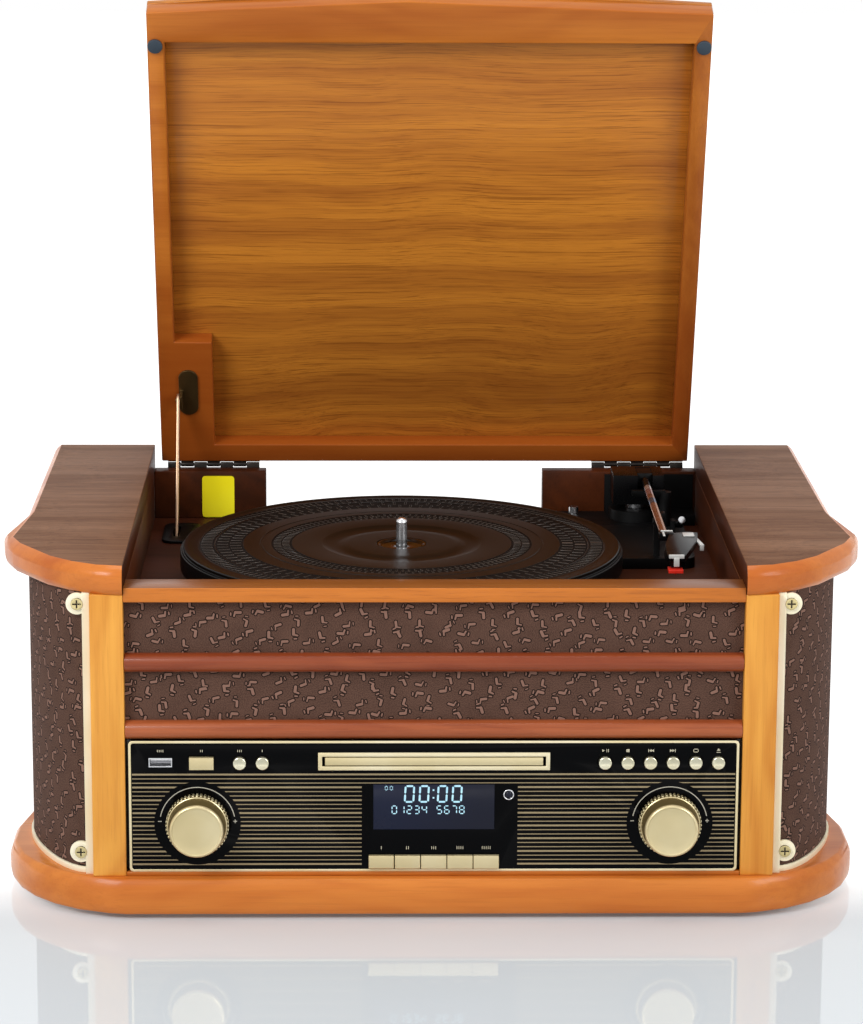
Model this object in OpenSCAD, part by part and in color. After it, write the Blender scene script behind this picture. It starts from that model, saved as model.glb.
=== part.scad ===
// Stereo music centre: a wooden cabinet with a lidded turntable, a disc tray,
// a tuner panel and a speaker in each side.
// Millimetres, +Z up, the front faces -Y, and +X is on the viewer's right.
// The lid is modelled closed and then swung open to its rest angle.

/* [Cabinet] */
// Clear width between the two wing tops, and of the turntable well
well_w = 370; // [360:1:400]
// Depth from the post fronts to the back face
cab_d = 349.5; // [340:0.5:400]
// Where the back face stands behind the origin
back_y = 169.5; // [165:0.5:190]
// Height of the rubber feet below the base board
foot_h = 3; // [2:0.5:8]
// Radius of a foot
foot_r = 10; // [6:0.5:14]
// Thickness of the base board
plinth_h = 22; // [18:0.5:30]
// Height of the walls between base board and wing tops
wall_h = 174.8; // [170:0.2:200]
// Thickness of the wing tops
wing_h = 17.5; // [14:0.5:24]
// Width of a front post
post_w = 20; // [16:0.5:26]
// Depth of a front post
post_d = 18; // [14:0.5:24]
// Thickness of the walls beside the turntable well
inner_t = 10; // [8:0.5:11]
// Thickness of the outer side walls
outer_t = 12; // [9:0.5:15]
// Thickness of the back wall
back_t = 13; // [10:0.5:16]
// Width of a speaker bay, from the well to the outer side wall's face
bay_w = 59; // [57:0.5:61]
// Where each outer side wall begins, measured from the origin
side_front_y = -38; // [-45:0.5:-32]
// Gap left wherever two boards meet without glue
board_gap = 0.1; // [0.05:0.05:0.3]

/* [Wing and base outline] */
// Width of a wing top over its straight rear part, from the well outwards
rear_reach = 64; // [62:0.5:67]
// Width of a wing top over its bulging front part
bulge_reach = 73.5; // [71:0.5:77]
// How far the rounded edges stand out beyond the crisp top line
edge_bulge = 5; // [3:0.5:6]
// How far the base stands out in front of the posts
plinth_lip = 5.7; // [4:0.1:9]

/* [Front] */
// Height of the top rail
rail_h = 8.8; // [7:0.1:12]
// Depth of the top rail
rail_d = 22.7; // [18:0.1:26]
// Gap from the top rail's underside down to the wings' underside level
rail_drop = 4.7; // [4:0.1:6]
// Height of the upper cloth
cloth_upper_h = 32.4; // [28:0.1:36]
// Height of the lower cloth
cloth_lower_h = 30.2; // [26:0.1:34]
// Height of each half-round moulding
moulding_h = 11.4; // [9:0.1:12]
// Thickness of the grille cloth
cloth_t = 1.2; // [0.8:0.1:2]
// Thickness of the board behind the cloth
baffle_t = 8; // [6:0.5:10]
// Distance from the post fronts back to the board behind the cloth
baffle_in = 8; // [8:0.1:10]

/* [Side speakers] */
// Radius of the speaker opening
speaker_r = 32; // [28:0.5:34]
// Depth of a speaker from its flange to its magnet's back
speaker_d = 17.5; // [15:0.5:18]
// Width of the metal strip beside each post
strip_w = 4.6; // [4:0.1:6]
// Radius of the round lobes that take the strip's screws
lobe_r = 6.6; // [5:0.1:7]
// Radius of the strip screws' heads
trim_screw_r = 3.6; // [3:0.1:4.2]
// Height of the metal band along the foot of the cloth
band_h = 3.6; // [3:0.1:6]

/* [Control panel] */
// Gap between the panel's front plate and each post
panel_margin = 2; // [1:0.1:5]
// Thickness of the front plate
panel_t = 3; // [2.5:0.1:4]
// Thickness of the wider plate behind it
panel_back_t = 2.5; // [2:0.1:4]
// Height of the wooden strip under the panel
sill_h = 2.8; // [2:0.1:5]
// How far the panel lies behind the post fronts
panel_in = 0.6; // [0.2:0.1:2]
// Width of the metal line around the panel
border_w = 1.5; // [1:0.1:2]
// Height of the row of small controls above the panel's foot
row_z = 68.2; // [66:0.1:69]
// Distance of each knob from the post beside it
knob_in = 43; // [41:0.5:47]
// Height of the knobs above the panel's foot
knob_z = 30.3; // [28:0.1:32]
// Radius of a knob's knurled skirt
skirt_r = 19; // [17:0.5:21]
// Radius of a knob's smooth cap
cap_r = 15.6; // [14:0.1:16]
// How far a knob stands out of the panel
knob_h = 17; // [14:0.5:20]
// Radius of a knob's shaft
shaft_r = 3; // [2.5:0.1:3.5]
// Radius of the round buttons
button_r = 3.9; // [3.5:0.1:4.3]
// How far the buttons stand out of the panel
button_h = 2.6; // [2:0.1:4]
// How far a button travels
button_travel = 1.2; // [0.8:0.1:1.5]
// Gap round each button, key and tray
button_gap = 0.2; // [0.15:0.05:0.3]
// Pitch of the six disc buttons
disc_pitch = 13.6; // [12:0.1:14]
// Distance of the first disc button from the right-hand post
disc_in = 82.4; // [81:0.1:85]
// Width of the power button
power_w = 14.6; // [12:0.1:16]
// Height of the power button
power_h = 7.5; // [6:0.1:9]
// Width of a key under the display
key_w = 15.3; // [13:0.1:16]
// Pitch of the keys
key_pitch = 15.8; // [15.7:0.1:17]
// Height of a key
key_h = 8.2; // [7:0.1:10]
// Height of the keys' middle above the panel's foot
key_z = 6.3; // [6:0.1:8]
// Width of the display window
window_w = 72.9; // [66:0.1:76]
// Height of the display window
window_h = 28.3; // [26:0.1:30]
// Height of the window's middle above the panel's foot
window_z = 40.4; // [38:0.1:42]

/* [Disc tray] */
// Width of the tray's front
tray_w = 133.8; // [132:0.1:136]
// Height of the tray's front
tray_h = 5.7; // [5:0.1:7]
// Depth of the tray behind its front
tray_d = 148; // [144:1:152]
// How far the tray slides out
tray_travel = 132; // [120:1:136]
// Width of the raised frame around the tray
frame_w = 2.4; // [2:0.1:3]
// Radius of the dish for a disc
disc_r = 60.6; // [60.2:0.1:61]

/* [Turntable] */
// Height of the deck's top above the underside of the feet
deck_z = 169; // [164:0.5:170]
// Thickness of the deck
deck_t = 6; // [4:0.5:9]
// Height of the turntable's chassis above the deck
chassis_h = 7; // [5:0.5:8]
// Place of the spindle across the cabinet
platter_x = -18; // [-20:0.5:-14]
// Place of the spindle from front to back
platter_y = -13; // [-15:0.5:-11]
// Radius of the platter
platter_r = 141; // [136:0.5:142]
// Height of the platter over its rim
platter_h = 12.5; // [11:0.5:14]
// Thickness of the mat
mat_t = 2; // [1.5:0.1:3]
// Radius of the record spindle
spindle_r = 3.5; // [3.4:0.05:3.6]
// Radius of the spindle's shaft in its bearing
shaft_low_r = 3.2; // [3:0.05:3.3]
// How far the spindle stands above the mat
spindle_h = 16.5; // [14:0.5:18]
// Radius of the ring under the platter that the belt drives
drive_r = 62; // [56:1:70]
// Radius of the motor's pulley
pulley_r = 5; // [4:0.5:8]
// Distance from the spindle to the motor's shaft
motor_dist = 96; // [90:1:110]
// Direction of the motor from the spindle
motor_angle = 140; // [120:5:160]
// Running clearance on shafts
run_gap = 0.05; // [0.02:0.01:0.1]
// Clearance between the platter and what lies under it
platter_gap = 1.5; // [1:0.5:3]

/* [Tonearm] */
// Distance of the arm's upright pivot from the well's right-hand wall
arm_in = 42; // [39:0.5:45]
// Place of the arm's upright pivot from front to back
arm_y = 131; // [128:0.5:134]
// Distance from the pivot to the end of the tube
tube_len = 167; // [160:1:170]
// Radius of the tube
tube_r = 2.4; // [2:0.1:3]
// Height of the tube above the deck
tube_z = 34; // [33:0.5:35]
// Width of the pivot housing
housing_w = 34; // [30:0.5:36]
// Depth of the pivot housing
housing_d = 30; // [26:0.5:34]
// Height of the pivot housing
housing_h = 20; // [18:0.5:24]

/* [Lid] */
// Angle at which the lid rests open
lid_angle = 69.2; // [60:0.1:75]
// Gap between the lid and each wing top
lid_side = 4.5; // [3:0.25:7]
// Length of the lid along its sides
lid_l = 338.5; // [330:0.5:342]
// How far the bowed front edge stands out in the middle
lid_bow = 8.5; // [4:0.5:12]
// Depth of the recess in the lid's underside
lid_recess = 13; // [10:0.5:14]
// Thickness of the lid's panel
lid_panel_t = 5; // [3:0.5:6]
// Gap between the front rail and the closed lid
lid_gap = 0.4; // [0.3:0.1:1]
// Width of the lid's side members
stile_w = 11; // [9:0.5:14]
// Width of the lid's hinge member
hinge_rail_w = 13.3; // [11:0.1:16]
// Width of the lid's front member at its ends
front_rail_w = 21; // [18:0.5:24]
// Width of the corner block that carries the stay
block_w = 25.3; // [24:0.1:28]
// Length of the corner block
block_l = 81.6; // [76:0.1:90]
// Radius of the rubber bumpers
bumper_r = 5; // [4:0.1:5.5]

/* [Hidden] */
$fn = 48;

// Heights
plinth_top = foot_h + plinth_h;
wall_top = plinth_top + wall_h;
wing_top = wall_top + wing_h;
rail_z = wall_top - rail_drop;
rail_top = rail_z + rail_h;
cloth_upper_z = rail_z - cloth_upper_h;
cloth_lower_z = cloth_upper_z - moulding_h - cloth_lower_h;
panel_top = cloth_lower_z - moulding_h;
panel_z = plinth_top + sill_h;
panel_h = panel_top - panel_z;

// Boards
front_y = back_y - cab_d;
wall_y = back_y - back_t;
inner_x = well_w / 2;
inside_x = inner_x - board_gap;
post_x = inner_x + post_w;
side_x = inner_x + bay_w;
rear_x = inner_x + rear_reach;
bulge_x = inner_x + bulge_reach;
wing_bulge_d = 91.5;
waist_d = 123;
grille_waist_d = 121;
lid_w = well_w - 2 * lid_side;
post_back_y = front_y + post_d;
baffle_y = front_y + baffle_in;
baffle_back_y = baffle_y + baffle_t;
wing_back = 2;
plinth_bulge = 3.5;
bulge_levels = 8;

// Hinges: one leaf of sheet is on the rear of a post, the other on the rear edge of the lid
leaf_t = 0.9;
leaf_gap = 0.2;
leaf_l = 63;
leaf_h = 13;
knuckle_r = 1.6;
knuckles = 7;
pin_r = 0.9;
lid_z = rail_top + lid_gap;
hinge_y = back_y + knuckle_r + 0.3;
hinge_z = lid_z - 0.8;
post_top = hinge_z - knuckle_r - leaf_gap;
left_leaf_x = -inner_x + 8.5;
right_leaf_x = inner_x - 70.7;
left_post_x = -inner_x + 76.2;
right_post_x = inner_x - 104.9;

// Lid stay: it hangs from a rivet on the lid and slides through a slot in the deck
stay_x = -inner_x + 17.5;
stay_t = 1.8;
stay_w = 9;
stay_drop = 6;
stay_from_back = 53;
stay_slot_y = back_y - 60.5;
stay_slot_l = 30;
stay_slot_w = 4.2;
stay_below = 14;
rivet_r = 1.6;
catch_w = 24;
catch_l = 54;
catch_h = 2;

// Turntable
chassis_top = deck_z + chassis_h;
platter_z = chassis_top + platter_gap;
platter_top = platter_z + platter_h;
mat_top = platter_top + mat_t;
motor_x = platter_x + motor_dist * cos(motor_angle);
motor_y = platter_y + motor_dist * sin(motor_angle);
belt_t = 0.8;
belt_clear = 0.3;
belt_w = 4;
belt_z = platter_z + 3;
arm_x = inner_x - arm_in;
arm_boss_r = 19;
arm_boss_h = 7;
arm_shaft_r = 4;
arm_ring_h = 4;
housing_z = chassis_top + arm_boss_h + 0.3 + arm_ring_h;
arm_axis_z = deck_z + tube_z;
tube_x = arm_x + 4.5;
tube_end_y = arm_y - tube_len;

// Panel
panel_w = well_w - 2 * panel_margin;
knob_x = inner_x - knob_in;
disc_x = inner_x - disc_in;
fascia_y = front_y + panel_in;
fascia_back_y = fascia_y + panel_t;
fascia_rear_y = fascia_back_y + panel_back_t;
row_h = panel_z + row_z;
knob_h_z = panel_z + knob_z;
board_y = fascia_rear_y + 6.5;
board_t = 1.6;
tray_z = row_h - tray_h / 2 + 1;
stem_r = 1.6;
button_x = [-inner_x + 45.7, -inner_x + 68.5, -inner_x + 82.1];
usb_x = -inner_x + 21.1;
usb_w = 14.2;
usb_h = 5.9;
usb_d = 14;
usb_wall = 0.7;

// Points of a cubic curve, n steps
function curve(p, n) = [
    for (i = [0 : n])
        let (t = i / n, u = 1 - t)
        u * u * u * p[0] + 3 * u * u * t * p[1] + 3 * u * t * t * p[2] + t * t * t * p[3]
];

// All but the first point of a list
function rest(p) = [for (i = [1 : len(p) - 1]) p[i]];

// The right side's outline from the bulge to the back, o outside the crisp line
function outline_rear(o) = concat(
    curve([
        [bulge_x + o, front_y + wing_bulge_d], [bulge_x + o, front_y + waist_d - 10],
        [rear_x + o, front_y + waist_d], [rear_x + o, front_y + waist_d + 35]
    ], 8),
    [[rear_x + o, back_y + wing_back]]
);

// The right wing's outline, anticlockwise from its inner front corner
function wing_outline(o) = concat(
    curve([
        [inner_x, front_y + 1.6 - o], [bulge_x - 36.5 + 0.7 * o, front_y + 1 - o],
        [bulge_x + o, front_y + wing_bulge_d - 32], [bulge_x + o, front_y + wing_bulge_d]
    ], 14),
    rest(outline_rear(o)),
    [[inner_x, back_y + wing_back]]
);

// The base board's right half, anticlockwise from the middle of its front
function plinth_half(o) = concat(
    curve([
        [inner_x - 10, front_y - plinth_lip - o], [bulge_x - 33.5 + 0.7 * o, front_y - plinth_lip - o],
        [bulge_x + o, front_y + 38], [bulge_x + o, front_y + 78]
    ], 14),
    outline_rear(o)
);
function mirrored(p) = [for (i = [len(p) - 1 : -1 : 0]) [-p[i][0], p[i][1]]];
function plinth_outline(o) = concat(plinth_half(o), mirrored(plinth_half(o)));

// The grille's plan on the right side, o inside the cloth's outer face
grille_front_x = post_x + strip_w + 0.4;
grille_bulge_x = bulge_x - 10;
function grille_curve(o) = concat(
    curve([
        [grille_front_x, front_y + 8.8 + o], [grille_front_x + 17 - 0.7 * o, front_y + 13 + o],
        [grille_bulge_x - o, front_y + 65 + 0.5 * o], [grille_bulge_x - o, front_y + 93]
    ], 12),
    rest(curve([
        [grille_bulge_x - o, front_y + 93], [grille_bulge_x - o, front_y + 113],
        [side_x + cloth_t - o, front_y + grille_waist_d], [side_x + cloth_t - o, side_front_y - board_gap]
    ], 6))
);
function backwards(p) = [for (i = [len(p) - 1 : -1 : 0]) p[i]];

// The flat inner face that a side speaker is screwed to
seat_a = [post_x + board_gap, post_back_y];
seat_b = [side_x - outer_t, side_front_y - board_gap];
seat_mid = (seat_a + seat_b) / 2;
seat_angle = atan2(seat_b[0] - seat_a[0], seat_b[1] - seat_a[1]);
speaker_z = plinth_top + wall_h / 2;

// Where a bulging edge stands at the share t of its height
function bulge(t, most) = most * (1 - pow(abs(2 * (0.1 + 0.9 * t) - 1), 3));

// Skin through rings of equal length, each a list of plan points at one height
module loft(rings, heights) {
    n = len(rings[0]);
    m = len(rings);
    points = [for (j = [0 : m - 1]) for (p = rings[j]) [p[0], p[1], heights[j]]];
    sides = [
        for (j = [0 : m - 2]) for (i = [0 : n - 1])
            let (a = j * n + i, b = j * n + (i + 1) % n)
            each [[a, a + n, b + n], [a, b + n, b]]
    ];
    floor_face = [for (i = [0 : n - 1]) i];
    top_face = [for (i = [n - 1 : -1 : 0]) (m - 1) * n + i];
    polyhedron(points, concat(sides, [floor_face, top_face]));
}

module rounded_rect(w, h, r) {
    square([w - 2 * r, h], center = true);
    square([w, h - 2 * r], center = true);
    for (x = [-1, 1])
        for (y = [-1, 1])
            translate([x * (w / 2 - r), y * (h / 2 - r)]) circle(r);
}

module both_sides() {
    children();
    mirror([1, 0, 0]) children();
}

// Puts a piece drawn with the lid closed where it is with the lid at its rest angle
module lid_open() {
    translate([0, hinge_y, hinge_z]) rotate([-lid_angle, 0, 0]) translate([0, -hinge_y, -hinge_z])
        children();
}

// Lays a plan drawn in X and Z on the plane y, t thick towards the back
module on_front(x, y, z, t) {
    translate([x, y, z]) rotate([90, 0, 0]) mirror([0, 0, 1]) linear_extrude(t) children();
}

// ---- Cabinet ----

module plinth() {
    color("#C8712B") {
        steps = [for (k = [0 : bulge_levels]) k / bulge_levels];
        loft([for (t = steps) plinth_outline(bulge(t, plinth_bulge))], [for (t = steps) foot_h + plinth_h * t]);
    }
}

module feet() {
    color("#1C1A18")
        both_sides()
            for (y = [front_y + 40, back_y - 30])
                translate([inner_x + 10, y, 0]) cylinder(r = foot_r, h = foot_h);
}

module front_posts() {
    color("#E9A13B")
        both_sides()
            translate([inner_x, front_y, plinth_top]) cube([post_w, post_d, wall_h]);
}

module half_round(z) {
    r = moulding_h / 2;
    rotate([90, 0, 90]) linear_extrude(2 * inside_x, center = true) {
        translate([front_y + r, z + r]) intersection() {
            circle(r);
            translate([-r, 0]) square(2 * r, center = true);
        }
        translate([front_y + r, z]) square([baffle_in - r, moulding_h]);
    }
}

module front_rails() {
    color("#D98841") {
        translate([-inside_x, front_y, rail_z]) cube([2 * inside_x, rail_d, rail_h]);
        half_round(cloth_upper_z - moulding_h);
        half_round(panel_top);
        translate([-inside_x, front_y, plinth_top]) cube([2 * inside_x, baffle_in + baffle_t, sill_h]);
    }
}

// Plan of the board behind a side's curved cloth: curved outside, flat where the speaker sits
module side_baffle_plan() {
    polygon(concat(grille_curve(cloth_t), [seat_b, seat_a]));
}

module at_seat() {
    translate([seat_mid[0], seat_mid[1], speaker_z]) rotate([0, 90, -seat_angle]) children();
}

module baffles() {
    color("#A9835A") {
        translate([-inside_x, baffle_y, panel_top])
            cube([2 * inside_x, baffle_t, rail_z - panel_top]);
        both_sides()
            difference() {
                translate([0, 0, plinth_top]) linear_extrude(wall_h) side_baffle_plan();
                at_seat() cylinder(r = speaker_r, h = 3 * speaker_r, center = true);
            }
    }
}

module grille_cloth() {
    color("#5B4036") {
        for (strip = [[cloth_upper_z, cloth_upper_h], [cloth_lower_z, cloth_lower_h]])
            translate([-inside_x, baffle_y - cloth_t, strip[0]]) cube([2 * inside_x, cloth_t, strip[1]]);
        both_sides()
            translate([0, 0, plinth_top]) linear_extrude(wall_h)
                polygon(concat(grille_curve(0), backwards(grille_curve(cloth_t))));
    }
}

module side_panels() {
    color("#C98A45")
        both_sides()
            translate([0, 0, plinth_top]) {
                translate([inner_x, post_back_y, 0]) cube([inner_t, cab_d - post_d, wall_h]);
                translate([side_x - outer_t, side_front_y, 0]) cube([outer_t, back_y - side_front_y, wall_h]);
                translate([inner_x, back_y - inner_t, 0]) cube([side_x - inner_x, inner_t, wall_h]);
            }
}

// A screw head seen from the front, its cross cut in
module cross_screw(r, h) {
    rotate([90, 0, 0]) difference() {
        cylinder(r = r, h = h);
        translate([0, 0, h]) cube([1.4 * r, 0.25 * r, h], center = true);
        translate([0, 0, h]) cube([0.25 * r, 1.4 * r, h], center = true);
    }
}

lobe_t = 2;
lobe_y = front_y + 6;
lobe_x = post_x + strip_w + 3;
lobe_z = [plinth_top + lobe_r + 7, wall_top - lobe_r - 0.3];

module speaker_trims() {
    color("#E4D6A8")
        both_sides() {
            translate([post_x + board_gap, lobe_y - 1, plinth_top]) cube([strip_w, 5, wall_h]);
            for (z = lobe_z) {
                on_front(lobe_x, lobe_y, z, lobe_t) circle(lobe_r);
                translate([lobe_x, lobe_y, z]) cross_screw(trim_screw_r, 1.4);
            }
            translate([0, 0, plinth_top]) linear_extrude(band_h)
                polygon(concat(grille_curve(-1.5), backwards(grille_curve(-0.1))));
        }
}

module wings() {
    color("#8A6650") {
        steps = [for (k = [0 : bulge_levels]) k / bulge_levels];
        both_sides()
            loft([for (t = steps) wing_outline(bulge(t, edge_bulge))], [for (t = steps) wall_top + wing_h * t]);
    }
}

rear_hole_w = 152;
rear_hole_h = 40;
rear_z = 75;

module back_wall() {
    color("#7A4A2A")
        difference() {
            translate([-inside_x, wall_y, plinth_top]) cube([2 * inside_x, back_t, deck_z - plinth_top]);
            translate([0, wall_y + back_t / 2, rear_z]) cube([rear_hole_w, 2 * back_t, rear_hole_h], center = true);
        }
}

module hinge_posts() {
    color("#7A3E1E") {
        translate([-inside_x, wall_y, deck_z]) cube([inside_x + left_post_x, back_t, post_top - deck_z]);
        translate([right_post_x, wall_y, deck_z]) cube([inside_x - right_post_x, back_t, post_top - deck_z]);
    }
}

// Plan of the turntable's chassis, a disc hidden under the platter and a plate to the right-hand corner,
// drawn in by d all round
chassis_r = platter_r - 16;
chassis_x = [platter_x - 42, inner_x - 12.5];
chassis_y = [platter_y + 23, wall_y - 8.5];
chassis_corner = 8;

module chassis_plan(d) {
    translate([platter_x, platter_y]) circle(chassis_r - d);
    translate([(chassis_x[0] + chassis_x[1]) / 2, (chassis_y[0] + chassis_y[1]) / 2])
        rounded_rect(chassis_x[1] - chassis_x[0] - 2 * d, chassis_y[1] - chassis_y[0] - 2 * d, chassis_corner - d);
}

deck_hole = [
    chassis_x[0] + 5, chassis_y[0] + 8, chassis_x[1] - chassis_x[0] - 42.5, chassis_y[1] - chassis_y[0] - 41
];

motor_hole_r = 20;
bush_hole_r = 14;
stay_hole_w = 8;

module deck() {
    color("#5A2C18")
        difference() {
            translate([-inside_x, baffle_back_y, deck_z - deck_t])
                cube([2 * inside_x, wall_y - baffle_back_y - board_gap, deck_t]);
            translate([deck_hole[0], deck_hole[1], deck_z - 2 * deck_t])
                cube([deck_hole[2], deck_hole[3], 3 * deck_t]);
            translate([motor_x, motor_y, deck_z - 2 * deck_t]) cylinder(r = motor_hole_r, h = 3 * deck_t);
            translate([platter_x, platter_y, deck_z - 2 * deck_t]) cylinder(r = bush_hole_r, h = 3 * deck_t);
            translate([stay_x - stay_hole_w / 2, stay_slot_y - stay_slot_l / 2 - 3, deck_z - 2 * deck_t])
                cube([stay_hole_w, stay_slot_l + 6, 3 * deck_t]);
        }
}

module stay_catch() {
    color("#151515")
        translate([stay_x + 3, stay_slot_y - 2, deck_z]) difference() {
            linear_extrude(catch_h) rounded_rect(catch_w, catch_l, 8);
            translate([-3, 2, 0]) cube([stay_slot_w, stay_slot_l, 3 * catch_h], center = true);
        }
}

// One hinge's knuckles: every second one, from the first or the second
module knuckle_row(x, first, bore) {
    seg = leaf_l / knuckles;
    for (i = [first : 2 : knuckles - 1])
        translate([x + i * seg + 0.15, hinge_y, hinge_z]) rotate([0, 90, 0]) difference() {
            cylinder(r = knuckle_r, h = seg - 0.3);
            if (bore > 0)
                translate([0, 0, -seg]) cylinder(r = bore, h = 3 * seg);
        }
}

// A leaf with its low edge at z, and the tabs that join it to its knuckles, from tab_z up
module leaf(x, first, z, tab_z) {
    seg = leaf_l / knuckles;
    translate([x, back_y, z]) cube([leaf_l, leaf_t, leaf_h]);
    for (i = [first : 2 : knuckles - 1])
        translate([x + i * seg + 0.15, back_y, tab_z]) cube([seg - 0.3, leaf_t, knuckle_r + leaf_gap + 0.1]);
}

module hinge_lower() {
    color("#4A3A2A")
        for (x = [left_leaf_x, right_leaf_x]) {
            leaf(x, 0, post_top - leaf_h, post_top - 0.1);
            knuckle_row(x, 0, 0);
            translate([x + 0.15, hinge_y, hinge_z]) rotate([0, 90, 0]) cylinder(r = pin_r, h = leaf_l - 0.3);
        }
}

module hinge_upper() {
    color("#4A3A2A")
        lid_open()
            for (x = [left_leaf_x, right_leaf_x]) {
                leaf(x, 1, hinge_z + knuckle_r + leaf_gap, hinge_z);
                knuckle_row(x, 1, pin_r + run_gap);
            }
}

module rear_panel() {
    color("#202020")
        translate([0, back_y, rear_z]) difference() {
            translate([-rear_hole_w / 2 - 6, 0, -rear_hole_h / 2 - 6])
                cube([rear_hole_w + 12, 2, rear_hole_h + 12]);
            for (x = rear_jack_x)
                for (z = rear_jack_z)
                    translate([x, -1, z]) rotate([-90, 0, 0]) cylinder(r = jack_r, h = 4);
            translate([inlet_x - inlet_w / 2, -1, -inlet_h / 2]) cube([inlet_w, 4, inlet_h]);
        }
}

rear_jack_x = [-60, -44];
rear_jack_z = [-9, 9];
jack_r = 4.3;
jack_bore_r = 1.7;
inlet_x = 52;
inlet_w = 24;
inlet_h = 18;
jack_d = 9;

module rear_jack() {
    difference() {
        union() {
            translate([0, 0, 0.2]) cylinder(r = jack_r - 0.2, h = jack_d - 0.2);
            cylinder(r = jack_r + 2, h = 2);
        }
        translate([0, 0, -1]) cylinder(r = jack_bore_r, h = 2 * jack_d);
    }
}

module sockets() {
    color("#B9B9B9") {
        for (x = rear_jack_x)
            for (z = rear_jack_z)
                translate([x, back_y - 2, rear_z + z]) rotate([-90, 0, 0]) rear_jack();
        translate([inlet_x, back_y, rear_z]) difference() {
            translate([0, -7, 0]) cube([inlet_w - 0.4, 18, inlet_h - 0.4], center = true);
            translate([0, -1, 0]) cube([inlet_w - 5, 14, inlet_h - 5], center = true);
        }
        translate([usb_x, fascia_y + 0.3 + usb_d / 2, row_h]) difference() {
            cube([usb_w, usb_d, usb_h], center = true);
            translate([0, -2, 0])
                cube([usb_w - 2 * usb_wall, usb_d, usb_h - 2 * usb_wall], center = true);
        }
    }
}

// ---- Control panel ----

module through(x, z) {
    translate([x, fascia_y - 1, z]) rotate([-90, 0, 0]) children();
}

function key_x(i) = (i - 2) * key_pitch;
function disc_button_x(i) = disc_x + i * disc_pitch;

module fascia_holes() {
    for (x = [-knob_x, knob_x])
        through(x, knob_h_z) cylinder(r = shaft_r + run_gap, h = 4 * panel_t);
    for (x = [button_x[1], button_x[2], for (i = [0 : 5]) disc_button_x(i)])
        through(x, row_h) cylinder(r = button_r + button_gap, h = 4 * panel_t);
    power_hole = [power_w + 2 * button_gap, power_h + 2 * button_gap];
    through(button_x[0], row_h) linear_extrude(4 * panel_t) square(power_hole, center = true);
    through(0, panel_z + key_z) linear_extrude(4 * panel_t)
        square([4 * key_pitch + key_w + 2 * button_gap, key_h + 2 * button_gap], center = true);
    through(0, panel_z + window_z) linear_extrude(4 * panel_t)
        square([window_w + 0.2, window_h + 0.2], center = true);
    through(0, tray_z + tray_h / 2) linear_extrude(4 * panel_t)
        square([tray_w + 2 * button_gap, tray_h + 2 * button_gap], center = true);
    through(usb_x, row_h) linear_extrude(4 * panel_t)
        square([usb_w + 0.2, usb_h + 0.2], center = true);
}

module fascia() {
    color("#0A0A0C")
        difference() {
            union() {
                on_front(0, fascia_y, panel_z + panel_h / 2, panel_t)
                    rounded_rect(panel_w, panel_h, 2.5);
                translate([-inside_x, fascia_back_y, panel_z]) cube([2 * inside_x, panel_back_t, panel_h]);
            }
            fascia_holes();
        }
}

module fascia_border() {
    color("#D9BE7C") {
        on_front(0, fascia_y - 0.4, panel_z + panel_h / 2, 0.4) difference() {
            rounded_rect(panel_w, panel_h, 2.5);
            rounded_rect(panel_w - 2 * border_w, panel_h - 2 * border_w, 1.5);
        }
        on_front(0, fascia_y - 1.2, tray_z + tray_h / 2, 1.2) difference() {
            square([tray_w + 2 * button_gap + 2 * frame_w, tray_h + 2 * button_gap + 2 * frame_w], center = true);
            square([tray_w + 2 * button_gap, tray_h + 2 * button_gap], center = true);
        }
    }
}

module display_window() {
    color("#1E2233")
        on_front(0, fascia_y + 0.1, panel_z + window_z, panel_t + 1) square([window_w, window_h], center = true);
}

// The panel's circuit board, with the display, the two controls and a switch behind every button
switch_gap = 0.2;
switch_w = 6;

module switch_at(x, z) {
    back_of_stem = fascia_rear_y + 2;
    front = back_of_stem + button_travel + switch_gap;
    translate([x - switch_w / 2, front, z - switch_w / 2]) cube([switch_w, board_y - front, switch_w]);
}

board_in = 6;

module control_board() {
    color("#1F5A35") {
        difference() {
            translate([-inside_x + board_in, board_y, panel_z + 1])
                cube([2 * (inside_x - board_in), board_t, panel_h - 2]);
            translate([-tray_w / 2 - 6, board_y - 1, tray_z - 6]) cube([tray_w + 12, board_t + 2, panel_h]);
            translate([usb_x - usb_w / 2 - 2, board_y - 1, row_h - usb_h]) cube([usb_w + 4, board_t + 2, 2 * usb_h]);
        }
        for (x = [-inside_x + 2 * board_in, inside_x - 2 * board_in])
            for (z = [panel_z + board_in, panel_top - 22])
                translate([x, fascia_rear_y, z]) rotate([-90, 0, 0]) cylinder(r = 2.5, h = board_y - fascia_rear_y);
        translate([-window_w / 2 + 1, fascia_y + panel_t + 1.2, panel_z + window_z - window_h / 2 + 1])
            cube([window_w - 2, board_y - fascia_y - panel_t - 1.2, window_h - 2]);
        for (x = [-knob_x, knob_x])
            difference() {
                translate([x - 7, fascia_rear_y, knob_h_z - 7]) cube([14, board_y - fascia_rear_y, 14]);
                through(x, knob_h_z) cylinder(r = shaft_r + run_gap, h = 20);
            }
        for (x = [button_x[0], button_x[1], button_x[2], for (i = [0 : 5]) disc_button_x(i)])
            switch_at(x, row_h);
        for (i = [0 : 4])
            switch_at(key_x(i), panel_z + key_z);
    }
}

// A cap that stands out of the panel and a stem to its switch
module push_button(x, z) {
    out = fascia_y - button_h;
    translate([x, out, z]) {
        rotate([-90, 0, 0]) linear_extrude(fascia_rear_y - 0.4 - out) children();
        rotate([-90, 0, 0]) cylinder(r = stem_r, h = fascia_rear_y + 2 - out);
    }
}

module round_button(x) {
    color("#D8C48E") push_button(x, row_h) circle(button_r);
}

module key(i) {
    color("#D8C48E") push_button(key_x(i), panel_z + key_z) square([key_w, key_h], center = true);
}

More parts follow.
